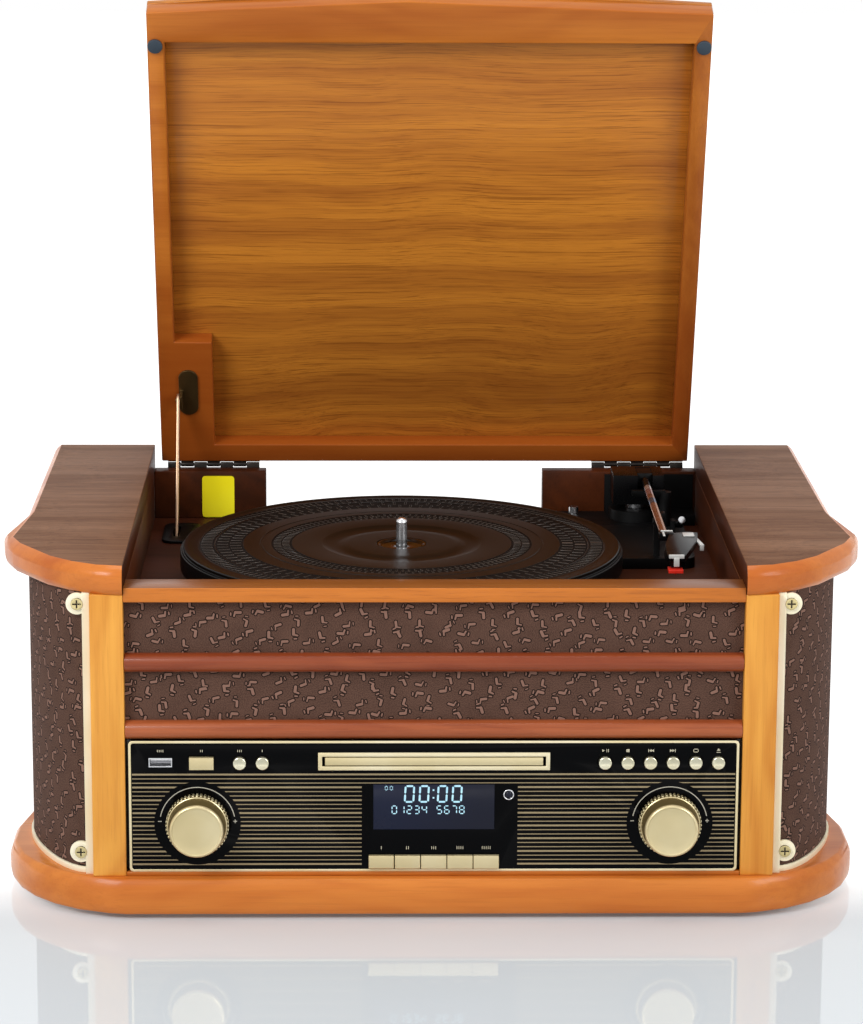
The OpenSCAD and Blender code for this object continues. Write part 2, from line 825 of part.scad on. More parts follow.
module power_button() {
    color("#D8C48E") push_button(button_x[0], row_h) square([power_w, power_h], center = true);
}
module function_button() round_button(button_x[1]);
module record_button() round_button(button_x[2]);
module play_button() round_button(disc_button_x(0));
module stop_button() round_button(disc_button_x(1));
module back_button() round_button(disc_button_x(2));
module forward_button() round_button(disc_button_x(3));
module mode_button() round_button(disc_button_x(4));
module open_button() round_button(disc_button_x(5));
module menu_key() key(0);
module info_key() key(1);
module scan_key() key(2);
module preset_key() key(3);
module tone_key() key(4);

knurl_count = 48;
skirt_h = 5;

module knob(x) {
    color("#D8C48E")
        translate([x, fascia_y - 0.4, knob_h_z]) rotate([90, 0, 0]) {
            difference() {
                cylinder(r = skirt_r, h = skirt_h);
                for (i = [0 : knurl_count - 1])
                    rotate([0, 0, i * 360 / knurl_count]) translate([skirt_r + 0.3, 0, -1])
                        cylinder(r = 0.8, h = skirt_h + 2, $fn = 6);
            }
            translate([0, 0, skirt_h]) cylinder(r1 = skirt_r - 1.2, r2 = cap_r + 0.8, h = knob_h - skirt_h - 1.4);
            translate([0, 0, knob_h - 1.4]) cylinder(r1 = cap_r + 0.8, r2 = cap_r, h = 1);
            mirror([0, 0, 1]) cylinder(r = shaft_r, h = board_y - 0.5 - fascia_y);
        }
}
module volume_knob() knob(-knob_x);
module tuner_knob() knob(knob_x);

// ---- Disc tray and its mechanism ----

tray_front_t = 4;
tray_plate_t = 3.4;
tray_side = 3;
tray_y = fascia_y - 1.2;
disc_y = tray_y + tray_front_t + disc_r + 6;

module cd_tray() {
    color("#D8C48E")
        difference() {
            union() {
                translate([-tray_w / 2, tray_y, tray_z]) cube([tray_w, tray_front_t, tray_h]);
                translate([-tray_w / 2 + tray_side, tray_y + 1, tray_z + 1])
                    cube([tray_w - 2 * tray_side, tray_d, tray_plate_t]);
            }
            translate([0, disc_y, tray_z + 1 + tray_plate_t - 2]) cylinder(r = disc_r, h = 4);
            translate([-18, disc_y - 18, tray_z - 1]) cube([36, 70, 10]);
        }
}

module cd_mechanism() {
    w = tray_w + 8;
    back = tray_y + tray_d + 12;
    rail_in = tray_w / 2 - tray_side + 0.3;
    color("#8E9196") {
        for (x = [-w / 2, rail_in])
            translate([x, board_y + 6, tray_z - 8]) cube([w / 2 - rail_in, back - board_y - 6, 20]);
        translate([-w / 2, board_y + 6, tray_z - 10]) cube([w, back - board_y - 6, 2]);
        for (x = [-w / 2, w / 2 - 12])
            for (y = [board_y + 8, back - 14])
                translate([x, y, plinth_top]) cube([12, 12, tray_z - 10 - plinth_top]);
        translate([-w / 2, disc_y - 12, tray_z + 12]) cube([w, 24, 1.5]);
        translate([0, disc_y, tray_z - 8]) cylinder(r = 12, h = 5);
        translate([-14, disc_y + 14, tray_z - 8]) cube([28, 34, 6]);
    }
}

// ---- Inside the cabinet ----

magnet_r = 22;

module speaker_profile() {
    difference() {
        polygon([
            [0, -speaker_d], [magnet_r, -speaker_d], [magnet_r, -9], [magnet_r - 6, -8],
            [speaker_r - 1, -2], [speaker_r + 5, -2], [speaker_r + 5, 0], [0, 0]
        ]);
        polygon([[9, 1], [9, -11], [speaker_r - 4, -2.5], [speaker_r - 2, 1]]);
        polygon([[-1, 1], [-1, -5], [8, -5], [8, 1]]);
    }
}

module speakers() {
    color("#2A2A2C")
        both_sides()
            at_seat() translate([0, 0, -board_gap]) rotate_extrude() intersection() {
                speaker_profile();
                translate([0, -speaker_d]) square([2 * speaker_r, speaker_d]);
            }
}

transformer_at = [100, 60];
core_size = [62, 50, 44];
coil_size = [44, 66, 28];

module transformer() {
    color("#5A5A5E")
        translate([transformer_at[0], transformer_at[1], plinth_top]) {
            cube(core_size);
            translate((core_size - coil_size) / 2) cube(coil_size);
        }
}

main_at = [-150, 20];
main_w = 140;
main_d = 110;
main_post_h = 6;
main_post_in = 6;
sink_size = [80, 18, 30];

module main_board() {
    color("#2C6B3A")
        translate([main_at[0], main_at[1], plinth_top]) {
            for (x = [main_post_in, main_w - main_post_in])
                for (y = [main_post_in, main_d - main_post_in])
                    translate([x, y, 0]) cylinder(r = 3, h = main_post_h);
            translate([0, 0, main_post_h]) cube([main_w, main_d, board_t]);
            translate([16, main_d - 30, main_post_h + board_t]) cube(sink_size);
            for (x = [30, 54, 78])
                translate([x, 40, main_post_h + board_t]) cylinder(r = 8, h = 24);
        }
}

// ---- Turntable ----

arm_post_r = 4;
axle_r = 1;
cue_x = arm_x + 24.5;
cue_y = arm_y - 48;
cue_z = chassis_top + 6;
cue_hub_w = 5;
cue_post = [arm_x + 17, arm_y - 26];
cue_bar_z = arm_axis_z - tube_r - 0.5;
rest_z = arm_axis_z - tube_r - 0.3;
rest_w = 4;
rest_d = 6;
rest_y = chassis_y[0] + 9;
transit_x = platter_x + 119;
transit_y = wall_y - 12;
screen_x = arm_x - 20.5;
screen_h = 31;
bush_r = 6;
motor_r = 16;

module turntable_chassis() {
    color("#111112")
        difference() {
            union() {
                translate([0, 0, deck_z]) difference() {
                    linear_extrude(chassis_h) chassis_plan(0);
                    translate([0, 0, -1]) linear_extrude(chassis_h - 2) chassis_plan(2.5);
                }
                translate([platter_x, platter_y, deck_z - 5]) cylinder(r = 10, h = chassis_h + 5);
                translate([arm_x, arm_y, chassis_top]) cylinder(r = arm_boss_r, h = arm_boss_h);
                translate([arm_x, arm_y, deck_z]) cylinder(r = 9, h = chassis_h);
                translate([cue_post[0], cue_post[1], chassis_top - 1])
                    cylinder(r = arm_post_r, h = cue_bar_z - chassis_top);
                translate([tube_x - 10, cue_post[1] - 2, cue_bar_z - 4])
                    cube([cue_post[0] - tube_x + 10, 4, 4]);
                translate([tube_x - rest_w / 2, rest_y - rest_d / 2, chassis_top - 1])
                    cube([rest_w, rest_d, rest_z - chassis_top + 1]);
                translate([tube_x - tube_r, rest_y - rest_d / 2, rest_z - 3])
                    cube([2 * tube_r + 2.5, rest_d, 3]);
                translate([tube_x + tube_r + 0.5, rest_y - rest_d / 2, rest_z - 3])
                    cube([2, rest_d, tube_r + 5]);
                translate([cue_x - cue_hub_w / 2 - 3, cue_y - 4, chassis_top - 1])
                    cube([2.7, 8, cue_z - chassis_top + 4]);
                translate([cue_x - cue_hub_w / 2 - 1, cue_y, cue_z]) rotate([0, 90, 0])
                    cylinder(r = axle_r, h = cue_hub_w + 1.2);
                translate([transit_x, transit_y, chassis_top - 1]) cylinder(r = 3.5, h = 5);
                translate([screen_x + 0.6, chassis_y[1] - 14.3, deck_z])
                    cube([inner_x - 2.6 - screen_x, wall_y - 0.8 - chassis_y[1] + 14.3, chassis_h]);
                translate([screen_x, wall_y - 1.3, deck_z]) cube([inner_x - 2 - screen_x, 1.1, screen_h]);
            }
            translate([platter_x, platter_y, deck_z - 6]) cylinder(r = bush_r, h = 2 * chassis_h);
            translate([motor_x, motor_y, deck_z - 1]) cylinder(r = pulley_r + 2, h = 2 * chassis_h);
            translate([arm_x, arm_y, deck_z - 1]) cylinder(r = arm_shaft_r + run_gap, h = 4 * arm_boss_h);
        }
}

module bearing_bush() {
    color("#B08D4A")
        translate([platter_x, platter_y, deck_z - 6]) difference() {
            union() {
                cylinder(r = bush_r, h = chassis_h + 6.4);
                cylinder(r = bush_r + 2, h = 1);
            }
            translate([0, 0, -1]) cylinder(r = shaft_low_r + run_gap, h = 3 * chassis_h);
        }
}

module spindle() {
    color("#C9C9CC")
        translate([platter_x, platter_y, 0]) {
            translate([0, 0, deck_z - 4]) cylinder(r = shaft_low_r, h = platter_top - deck_z + 5);
            translate([0, 0, platter_top + 0.5]) cylinder(r = spindle_r, h = mat_t + spindle_h - 3);
            translate([0, 0, mat_top + spindle_h - 2.5]) cylinder(r1 = spindle_r, r2 = 1.6, h = 2.5);
        }
}

rim_t = 5;
hub_r = 16;
hub_w = 7;
hub_fit = 0.02;

module platter() {
    color("#1A1A1B")
        translate([platter_x, platter_y, platter_z]) rotate_extrude() {
            translate([shaft_low_r + hub_fit, platter_h - 3]) square([platter_r - shaft_low_r - hub_fit - 1, 3]);
            translate([platter_r - rim_t, 0]) square([rim_t, platter_h - 1]);
            translate([drive_r - 4, 1]) square([4, platter_h - 2]);
            translate([shaft_low_r + hub_fit, 0]) square([hub_w, platter_h - 1]);
        }
}

module platter_mat() {
    color("#151516")
        translate([platter_x, platter_y, platter_top]) rotate_extrude()
            polygon([
                [hub_r, 0], [platter_r - 2, 0], [platter_r - 2, mat_t - 0.6], [platter_r - 2.6, mat_t],
                [51, mat_t], [46, mat_t - 1.1], [41, mat_t - 1.1], [36.7, mat_t - 0.3], [hub_r, mat_t - 0.3]
            ]);
}

module turntable_motor() {
    color("#A0A2A6")
        translate([motor_x, motor_y, 0]) {
            translate([0, 0, deck_z - 24]) cylinder(r = motor_r, h = 24 + chassis_h - 3);
            translate([0, 0, deck_z]) cylinder(r = 1, h = chassis_h + 8);
        }
}

module motor_pulley() {
    color("#C9A24B")
        translate([motor_x, motor_y, chassis_top - 1]) rotate_extrude()
            polygon([
                [1 + run_gap, 0], [pulley_r + 1, 0], [pulley_r + 1, 3.4], [pulley_r, 4.2],
                [pulley_r, 10.2], [pulley_r + 1, 10.6], [pulley_r + 1, 11], [1 + run_gap, 11]
            ]);
}

// The outline of a loop drawn tight round the drive ring and the pulley, at gap g
belt_wrap = acos((drive_r - pulley_r) / motor_dist);
function belt_loop(g) = concat(
    [for (i = [0 : 60]) let (a = belt_wrap + i * (360 - 2 * belt_wrap) / 60) (drive_r + g) * [cos(a), sin(a)]],
    [
        for (i = [0 : 16])
            let (a = belt_wrap * (i / 8 - 1))
            [motor_dist, 0] + (pulley_r + g) * [cos(a), sin(a)]
    ]
);

module drive_belt() {
    color("#202020")
        translate([platter_x, platter_y, belt_z]) rotate([0, 0, motor_angle])
            linear_extrude(belt_w) difference() {
                polygon(belt_loop(belt_t + belt_clear));
                polygon(belt_loop(belt_clear));
            }
}

// ---- Tonearm ----

yoke_w = 9.6;
yoke_h = 9;
yoke_l = 14;

module tonearm_housing() {
    color("#161618")
        difference() {
            union() {
                translate([arm_x - housing_w / 2, arm_y - 13, housing_z]) cube([housing_w, housing_d, housing_h]);
                translate([arm_x, arm_y, housing_z - arm_ring_h]) cylinder(r = 8, h = arm_ring_h);
                translate([arm_x, arm_y, deck_z]) cylinder(r = arm_shaft_r, h = housing_z - deck_z);
            }
            translate([tube_x - yoke_w / 2 - 0.3, arm_y - 20, arm_axis_z - yoke_h / 2 - 1])
                cube([yoke_w + 0.6, 20 + yoke_l, yoke_h + 2]);
            translate([arm_x - housing_w, arm_y, arm_axis_z]) rotate([0, 90, 0])
                cylinder(r = axle_r + run_gap, h = 2 * housing_w);
        }
}

module tonearm_tube() {
    color("#B98A6A") {
        translate([tube_x, arm_y, arm_axis_z]) rotate([90, 0, 0]) cylinder(r = tube_r, h = tube_len);
        translate([tube_x - yoke_w / 2, arm_y - yoke_l / 2, arm_axis_z - yoke_h / 2])
            cube([yoke_w, yoke_l + 4, yoke_h]);
        translate([arm_x - housing_w / 2 + 1, arm_y, arm_axis_z]) rotate([0, 90, 0])
            cylinder(r = axle_r, h = housing_w - 2);
    }
}

shell_z = arm_axis_z - 2;

module headshell() {
    color("#141414") {
        translate([0, tube_end_y, shell_z]) {
            linear_extrude(4) polygon([
                [tube_x + 3, -6], [tube_x + 14, -2], [tube_x + 21, -4], [tube_x + 18.5, -26], [tube_x + 8, -66],
                [tube_x - 3, -64], [tube_x - 2, -36]
            ]);
            translate([tube_x - 3.5, -8, -0.5]) cube([9, 8, 5]);
            translate([tube_x + 17.2, -12, 1.6]) rotate([0, 0, -82]) cube([19, 2.6, 1.2]);
            translate([tube_x + 19.8, -31, -1.2]) rotate([0, 0, -82]) cube([1.4, 2.6, 4]);
            translate([tube_x - 0.5, -63, -4.5]) rotate([0, 0, 4]) cube([9, 28, 5]);
        }
    }
}

module stylus() {
    color("#D8281C")
        translate([tube_x - 2.5, tube_end_y - 69.5, 0]) {
            translate([0, 0, shell_z - 6.5]) cube([9, 10, 2]);
            translate([4.5, 3, mat_top + 1.2]) cylinder(r = 0.6, h = shell_z - 6 - mat_top - 1.2);
        }
}

module cue_lever() {
    color("#2A2A2C")
        translate([cue_x, cue_y, cue_z]) difference() {
            union() {
                rotate([0, 90, 0]) cylinder(r = 2.5, h = cue_hub_w, center = true);
                rotate([70, 0, 0]) cylinder(r = 1.4, h = 18);
                rotate([70, 0, 0]) translate([0, 0, 16]) cylinder(r = 2.2, h = 7);
            }
            rotate([0, 90, 0]) cylinder(r = axle_r + run_gap, h = 2 * cue_hub_w, center = true);
        }
}

// ---- Lid, drawn closed ----

lid_back_y = back_y;
lid_front_y = lid_back_y - lid_l;
lid_top = lid_z + lid_recess + lid_panel_t;
bow_r = (lid_w * lid_w / 4 + lid_bow * lid_bow) / (2 * lid_bow);

// The lid's plan: straight at the back and sides, bowed in front
module lid_plan() {
    translate([-lid_w / 2, lid_front_y]) square([lid_w, lid_l]);
    intersection() {
        translate([0, lid_front_y - lid_bow + bow_r]) circle(bow_r, $fn = 360);
        translate([-lid_w / 2, lid_front_y - 2 * lid_bow]) square([lid_w, 2 * lid_bow]);
    }
}

module lid_hollow() {
    x = lid_w / 2 - stile_w;
    y1 = lid_back_y - hinge_rail_w;
    y0 = lid_front_y + front_rail_w;
    difference() {
        translate([-x, y0]) square([2 * x, y1 - y0]);
        translate([-x - 1, y1 - block_l]) square([block_w + 1, block_l + 1]);
    }
}

module lid_frame() {
    color("#B5642A")
        lid_open() translate([0, 0, lid_z]) linear_extrude(lid_recess) difference() {
            lid_plan();
            lid_hollow();
        }
}

module lid_panel() {
    color("#A8672C")
        lid_open() translate([0, 0, lid_z + lid_recess]) linear_extrude(lid_panel_t) lid_plan();
}

bumper_l = 315.5;
bumper_t = 2;

module lid_bumpers() {
    color("#22303E")
        lid_open()
            for (s = [-1, 1])
                translate([s * (lid_w / 2 - stile_w / 2 + 0.4), lid_back_y - bumper_l, lid_z - bumper_t])
                    cylinder(r = bumper_r - 0.2, h = bumper_t);
}

plate_w = 13;
plate_l = 35;
plate_t = 1.4;
ear_x = stay_x + stay_t / 2 + 0.3;

module stay_bracket() {
    color("#5A4A2C")
        lid_open() {
            translate([ear_x + plate_w / 2 - 1, lid_back_y - stay_from_back - 3, lid_z - plate_t])
                linear_extrude(plate_t) rounded_rect(plate_w, plate_l, plate_w / 2 - 0.1);
            translate([ear_x, lid_back_y - stay_from_back, 0]) difference() {
                translate([0, -5, lid_z - stay_drop - 4]) cube([1.6, 10, stay_drop + 4]);
            }
            translate([stay_x - stay_t / 2 - 1, lid_back_y - stay_from_back, lid_z - stay_drop])
                rotate([0, 90, 0]) cylinder(r = rivet_r, h = ear_x - stay_x + stay_t / 2 + 1.8);
        }
}

// Where the rivet is once the lid is open, and how the strip leans from it to the slot
rivet_dy = lid_back_y - stay_from_back - hinge_y;
rivet_dz = lid_z - stay_drop - hinge_z;
rivet_y = hinge_y + rivet_dy * cos(lid_angle) + rivet_dz * sin(lid_angle);
rivet_z = hinge_z - rivet_dy * sin(lid_angle) + rivet_dz * cos(lid_angle);
stay_lean = atan2(rivet_y - stay_slot_y, rivet_z - deck_z);
stay_reach = norm([rivet_y - stay_slot_y, rivet_z - deck_z]) + stay_below;

module lid_stay() {
    color("#C9C2B0")
        translate([stay_x, rivet_y, rivet_z]) rotate([-stay_lean, 0, 0]) rotate([0, 90, 0])
            difference() {
                linear_extrude(stay_t, center = true) {
                    circle(stay_w / 2);
                    translate([0, -stay_w / 2]) square([stay_reach, stay_w]);
                }
                cylinder(r = rivet_r + run_gap, h = 3 * stay_t, center = true);
            }
}

plinth();
feet();
front_posts();
front_rails();
baffles();
grille_cloth();
side_panels();
speaker_trims();
wings();
back_wall();
hinge_posts();
deck();
turntable_chassis();
bearing_bush();
turntable_motor();
drive_belt();
stay_catch();
hinge_lower();
fascia();
fascia_border();
display_window();
control_board();
cd_mechanism();
speakers();
transformer();
main_board();
rear_panel();
sockets();
platter();
platter_mat();
spindle();
motor_pulley();
tonearm_housing();
tonearm_tube();
headshell();
stylus();
cue_lever();
lid_frame();
lid_panel();
lid_bumpers();
stay_bracket();
hinge_upper();
lid_stay();
cd_tray();
volume_knob();
tuner_knob();
power_button();
function_button();
record_button();
play_button();
stop_button();
back_button();
forward_button();
mode_button();
open_button();
menu_key();
info_key();
scan_key();
preset_key();
tone_key();
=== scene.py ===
# Stereo music centre with an open lid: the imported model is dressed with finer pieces, materials and light.
import math
import bmesh
import bpy
from mathutils import Matrix, Vector


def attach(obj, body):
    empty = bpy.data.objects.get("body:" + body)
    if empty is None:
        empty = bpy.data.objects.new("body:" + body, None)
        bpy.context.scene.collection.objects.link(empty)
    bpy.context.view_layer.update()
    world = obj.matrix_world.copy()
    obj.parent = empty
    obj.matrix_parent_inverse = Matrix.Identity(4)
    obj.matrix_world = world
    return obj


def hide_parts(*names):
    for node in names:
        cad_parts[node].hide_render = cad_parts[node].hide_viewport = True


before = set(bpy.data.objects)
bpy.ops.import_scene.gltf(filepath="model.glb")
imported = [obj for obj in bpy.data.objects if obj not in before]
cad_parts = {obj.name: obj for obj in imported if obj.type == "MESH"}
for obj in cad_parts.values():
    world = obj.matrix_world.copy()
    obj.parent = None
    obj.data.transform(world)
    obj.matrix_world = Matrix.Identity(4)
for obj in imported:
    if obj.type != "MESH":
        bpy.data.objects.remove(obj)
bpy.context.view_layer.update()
mm = 0.001
print("frame loaded:", len(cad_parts), "nodes")

# camera
cameraValues = {
    "place": (-0.0433, -2.2585, 0.7252),
    "lens": 127.16,
    "pitch": 12.87,  # degrees down
    "yaw": 1.13,  # degrees to the right
    "roll": -0.27,
}


def addCamera(v):
    pitch, yaw, roll = (math.radians(v[k]) for k in ("pitch", "yaw", "roll"))
    right = Vector((math.cos(yaw), -math.sin(yaw), 0))
    up = Vector((math.sin(yaw) * math.sin(pitch), math.cos(yaw) * math.sin(pitch), math.cos(pitch)))
    ahead = Vector((math.sin(yaw) * math.cos(pitch), math.cos(yaw) * math.cos(pitch), -math.sin(pitch)))
    side = right * math.cos(roll) - up * math.sin(roll)
    top = right * math.sin(roll) + up * math.cos(roll)
    data = bpy.data.cameras.new("camera")
    data.lens = v["lens"]
    data.sensor_width = 36
    data.clip_end = 50
    camera = bpy.data.objects.new("camera", data)
    bpy.context.scene.collection.objects.link(camera)
    turn = Matrix((side, top, -ahead)).transposed().to_4x4()
    camera.matrix_world = Matrix.Translation(v["place"]) @ turn
    bpy.context.scene.camera = camera


addCamera(cameraValues)

# small tools


def objectMode():
    bpy.ops.object.mode_set(mode="OBJECT")


def editAll():
    # edit mode with everything selected
    bpy.ops.object.mode_set(mode="EDIT")
    bpy.ops.mesh.select_all(action="SELECT")


def selectOnly(obj):
    bpy.ops.object.select_all(action="DESELECT")
    obj.select_set(True)
    bpy.context.view_layer.objects.active = obj


def applyPlace(obj):
    selectOnly(obj)
    bpy.ops.object.transform_apply(location=True, rotation=True, scale=True)


def applyModifiers(obj):
    selectOnly(obj)
    for m in list(obj.modifiers):
        bpy.ops.object.modifier_apply(modifier=m.name)


def bevelEdges(obj, width, segments=3, angle=35):
    m = obj.modifiers.new("edges", "BEVEL")
    m.width = width
    m.segments = segments
    m.limit_method = "ANGLE"
    m.angle_limit = math.radians(angle)
    m.use_clamp_overlap = True
    m.harden_normals = False
    applyModifiers(obj)


def smoothFaces(obj, angle=35):
    selectOnly(obj)
    bpy.ops.object.shade_smooth_by_angle(angle=math.radians(angle))


def finishPiece(obj, name, body, materials, angle=35):
    applyModifiers(obj)
    applyPlace(obj)
    smoothFaces(obj, angle)
    obj.name = name
    obj.data.name = name
    obj.data.materials.clear()
    for m in materials if isinstance(materials, (list, tuple)) else [materials]:
        obj.data.materials.append(m)
    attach(obj, body)
    return obj


def joinPieces(parts):
    bpy.ops.object.select_all(action="DESELECT")
    for p in parts:
        p.select_set(True)
    bpy.context.view_layer.objects.active = parts[0]
    if len(parts) > 1:
        bpy.ops.object.join()
    return bpy.context.view_layer.objects.active


def mergedCopy(node, dissolve=2.0):
    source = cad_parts[node]
    obj = bpy.data.objects.new(node + "_copy", source.data.copy())
    bpy.context.scene.collection.objects.link(obj)
    selectOnly(obj)
    editAll()
    bpy.ops.mesh.remove_doubles(threshold=1e-5)
    bpy.ops.mesh.dissolve_limited(angle_limit=math.radians(dissolve))
    objectMode()
    return obj


def roundedCopy(node, name, body, materials, width=0.6 * mm, segments=3, dissolve=2.0, angle=35):
    obj = mergedCopy(node, dissolve)
    bevelEdges(obj, width, segments, angle)
    finishPiece(obj, name, body, materials)
    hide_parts(node)
    return obj


def pickFaces(obj, test):
    # selects the faces of a mesh by their middle and normal, ready for an edit-mode operator
    selectOnly(obj)
    bpy.ops.object.mode_set(mode="EDIT")
    bpy.ops.mesh.select_mode(type="FACE")
    bpy.ops.mesh.select_all(action="DESELECT")
    bm = bmesh.from_edit_mesh(obj.data)
    for f in bm.faces:
        f.select_set(bool(test(f.calc_center_median(), f.normal)))
    bmesh.update_edit_mesh(obj.data)


def addBox(centre, size):
    bpy.ops.object.select_all(action="DESELECT")
    bpy.ops.mesh.primitive_cube_add(size=1, location=centre)
    obj = bpy.context.active_object
    obj.scale = size
    applyPlace(obj)
    return obj


def inMetres(rows):
    return [tuple(a * mm for a in row) for row in rows]


def turned(profile, centre, steps=96, axis="Z"):
    # a turned piece: a row of points is spun round its axis
    mesh = bpy.data.meshes.new("profile")
    mesh.from_pydata([(r, 0, z) for r, z in profile], [(i, i + 1) for i in range(len(profile) - 1)], [])
    obj = bpy.data.objects.new("turned", mesh)
    bpy.context.scene.collection.objects.link(obj)
    selectOnly(obj)
    editAll()
    bpy.ops.mesh.spin(steps=steps, angle=2 * math.pi, center=(0, 0, 0), axis=(0, 0, 1))
    bpy.ops.mesh.select_all(action="SELECT")
    bpy.ops.mesh.remove_doubles(threshold=1e-6)
    bpy.ops.mesh.normals_make_consistent(inside=False)
    objectMode()
    if axis == "-Y":
        obj.rotation_euler = (math.pi / 2, 0, 0)
    obj.location = centre
    applyPlace(obj)
    return obj

# shader tools


def addNode(tree, kind, settings=None, **inputs):
    n = tree.nodes.new(kind)
    for key, value in (settings or {}).items():
        setattr(n, key, value)
    for key, value in inputs.items():
        setSocket(tree, n.inputs[key.replace("_", " ")], value)
    return n


def setSocket(tree, socket, value):
    if isinstance(value, bpy.types.NodeSocket):
        tree.links.new(value, socket)
    else:
        socket.default_value = value


def calc(tree, operation, a, b=0.0, c=0.0, clamp=False):
    n = addNode(tree, "ShaderNodeMath", {"operation": operation, "use_clamp": clamp})
    for socket, value in zip(n.inputs, (a, b, c)):
        setSocket(tree, socket, value)
    return n.outputs[0]


def times(tree, a, b, clamp=False):
    return calc(tree, "MULTIPLY", a, b, clamp=clamp)


def sumOf(tree, a, b, clamp=False):
    return calc(tree, "ADD", a, b, clamp=clamp)


def less(tree, a, b):
    return calc(tree, "SUBTRACT", a, b)


def most(tree, a, b):
    return calc(tree, "MAXIMUM", a, b)


def splitVector(tree, vector):
    return addNode(tree, "ShaderNodeSeparateXYZ", Vector=vector).outputs


def joinVector(tree, x, y, z=0.0):
    return addNode(tree, "ShaderNodeCombineXYZ", X=x, Y=y, Z=z).outputs[0]


def ownPlace(tree):
    return tree.nodes.new("ShaderNodeTexCoord").outputs["Object"]


def calcVector(tree, operation, a, b=(0, 0, 0), scale=None):
    n = addNode(tree, "ShaderNodeVectorMath", {"operation": operation})
    setSocket(tree, n.inputs[0], a)
    if scale is None:
        setSocket(tree, n.inputs[1], b)
    else:
        setSocket(tree, n.inputs["Scale"], scale)
    return n.outputs["Value" if operation in ("DOT_PRODUCT", "LENGTH") else 0]


def blendColours(tree, factor, a, b):
    n = addNode(tree, "ShaderNodeMix", {"data_type": "RGBA"})
    setSocket(tree, n.inputs[0], factor)
    setSocket(tree, n.inputs[6], a)
    setSocket(tree, n.inputs[7], b)
    return n.outputs[2]


def spread(tree, value, low, high, toLow=0.0, toHigh=1.0):
    n = addNode(tree, "ShaderNodeMapRange", {"interpolation_type": "SMOOTHSTEP"})
    for i, v in enumerate((value, low, high, toLow, toHigh)):
        setSocket(tree, n.inputs[i], v)
    return n.outputs[0]


def noiseOf(tree, vector, scale=1.0, detail=3.0, rough=0.55, distortion=0.0):
    n = addNode(
        tree, "ShaderNodeTexNoise", Vector=vector, Scale=scale, Detail=detail, Roughness=rough,
        Distortion=distortion
    )
    return n.outputs[0]


def newGroup(name, inputs, outputs):
    tree = bpy.data.node_groups.new(name, "ShaderNodeTree")
    for label, kind, value in inputs:
        s = tree.interface.new_socket(name=label, in_out="INPUT", socket_type="NodeSocket" + kind)
        if value is not None:
            s.default_value = value
    for label, kind in outputs:
        tree.interface.new_socket(name=label, in_out="OUTPUT", socket_type="NodeSocket" + kind)
    return tree, tree.nodes.new("NodeGroupInput").outputs, tree.nodes.new("NodeGroupOutput").inputs


def useGroup(tree, group, **inputs):
    n = tree.nodes.new("ShaderNodeGroup")
    n.node_tree = group
    for key, value in inputs.items():
        setSocket(tree, n.inputs[key.replace("_", " ")], value)
    return n.outputs


def hexColour(text, alpha=1.0):
    parts = [int(text[i : i + 2], 16) / 255 for i in (0, 2, 4)]
    return tuple(c / 12.92 if c <= 0.04045 else ((c + 0.055) / 1.055) ** 2.4 for c in parts) + (alpha,)


def newMaterial(name, roughness=0.5, metallic=0.0, coat=0.0, coatRoughness=0.1):
    m = bpy.data.materials.new(name)
    m.use_nodes = True
    tree = m.node_tree
    shader = tree.nodes["Principled BSDF"]
    shader.inputs["Roughness"].default_value = roughness
    shader.inputs["Metallic"].default_value = metallic
    shader.inputs["Coat Weight"].default_value = coat
    shader.inputs["Coat Roughness"].default_value = coatRoughness
    return m, tree, shader


def addBump(tree, shader, height, strength=0.3, distance=0.2 * mm):
    n = addNode(tree, "ShaderNodeBump", Height=height, Strength=strength, Distance=distance)
    tree.links.new(n.outputs[0], shader.inputs["Normal"])


def objectPlace(tree, scale=(1, 1, 1), turn=(0, 0, 0), shift=(0, 0, 0)):
    place = ownPlace(tree)
    n = addNode(tree, "ShaderNodeMapping", Vector=place, Scale=scale, Rotation=turn, Location=shift)
    return n.outputs[0]


def makeWoodGroup():
    # wood grain along the X of its vector, in metres
    tree, given, out = newGroup(
        "woodGrain",
        [("Vector", "Vector", None), ("Light", "Color", None), ("Dark", "Color", None),
            ("Pores", "Color", None),
         ("Fibre", "Float", 0.5), ("Figure", "Float", 0.5), ("Porosity", "Float", 0.3)],
        [("Color", "Color"), ("Height", "Float"), ("Roughness", "Float")],
    )

    def stretched(along, across, detail, rough=0.5, distortion=0.0):
        place = calcVector(tree, "MULTIPLY", given["Vector"], (along, across, across))
        return noiseOf(tree, place, 1, detail, rough, distortion)

    broad = stretched(3.0, 22.0, 3, 0.5, 0.4)
    fibre = stretched(9.0, 330.0, 4, 0.6)
    warp = stretched(3.2, 6.0, 3)
    lanes = splitVector(tree, given["Vector"])
    across = sumOf(tree, sumOf(tree, lanes[1], lanes[2]), times(tree, warp, 0.16))
    rings = calc(tree, "SINE", times(tree, across, 420.0))
    rings = calc(tree, "POWER", calc(tree, "MULTIPLY_ADD", rings, 0.5, 0.5), 1.6)
    pores = spread(tree, stretched(45.0, 1100.0, 2), 0.58, 0.7)
    streaks = spread(tree, stretched(14.0, 430.0, 3, 0.6, 0.3), 0.56, 0.64)
    poreMask = times(tree, most(tree, pores, streaks), given["Porosity"], clamp=True)
    tone = sumOf(tree, times(tree, less(tree, fibre, 0.5), given["Fibre"]), spread(tree, broad, 0.25, 0.75))
    tone = sumOf(tree, tone, times(tree, less(tree, rings, 0.4), given["Figure"]), clamp=True)
    colour = blendColours(tree, tone, given["Light"], given["Dark"])
    tree.links.new(blendColours(tree, poreMask, colour, given["Pores"]), out["Color"])
    setSocket(tree, out["Height"], less(tree, times(tree, fibre, 0.4), poreMask))
    setSocket(tree, out["Roughness"], spread(tree, broad, 0.2, 0.8, 0.26, 0.36))
    return tree


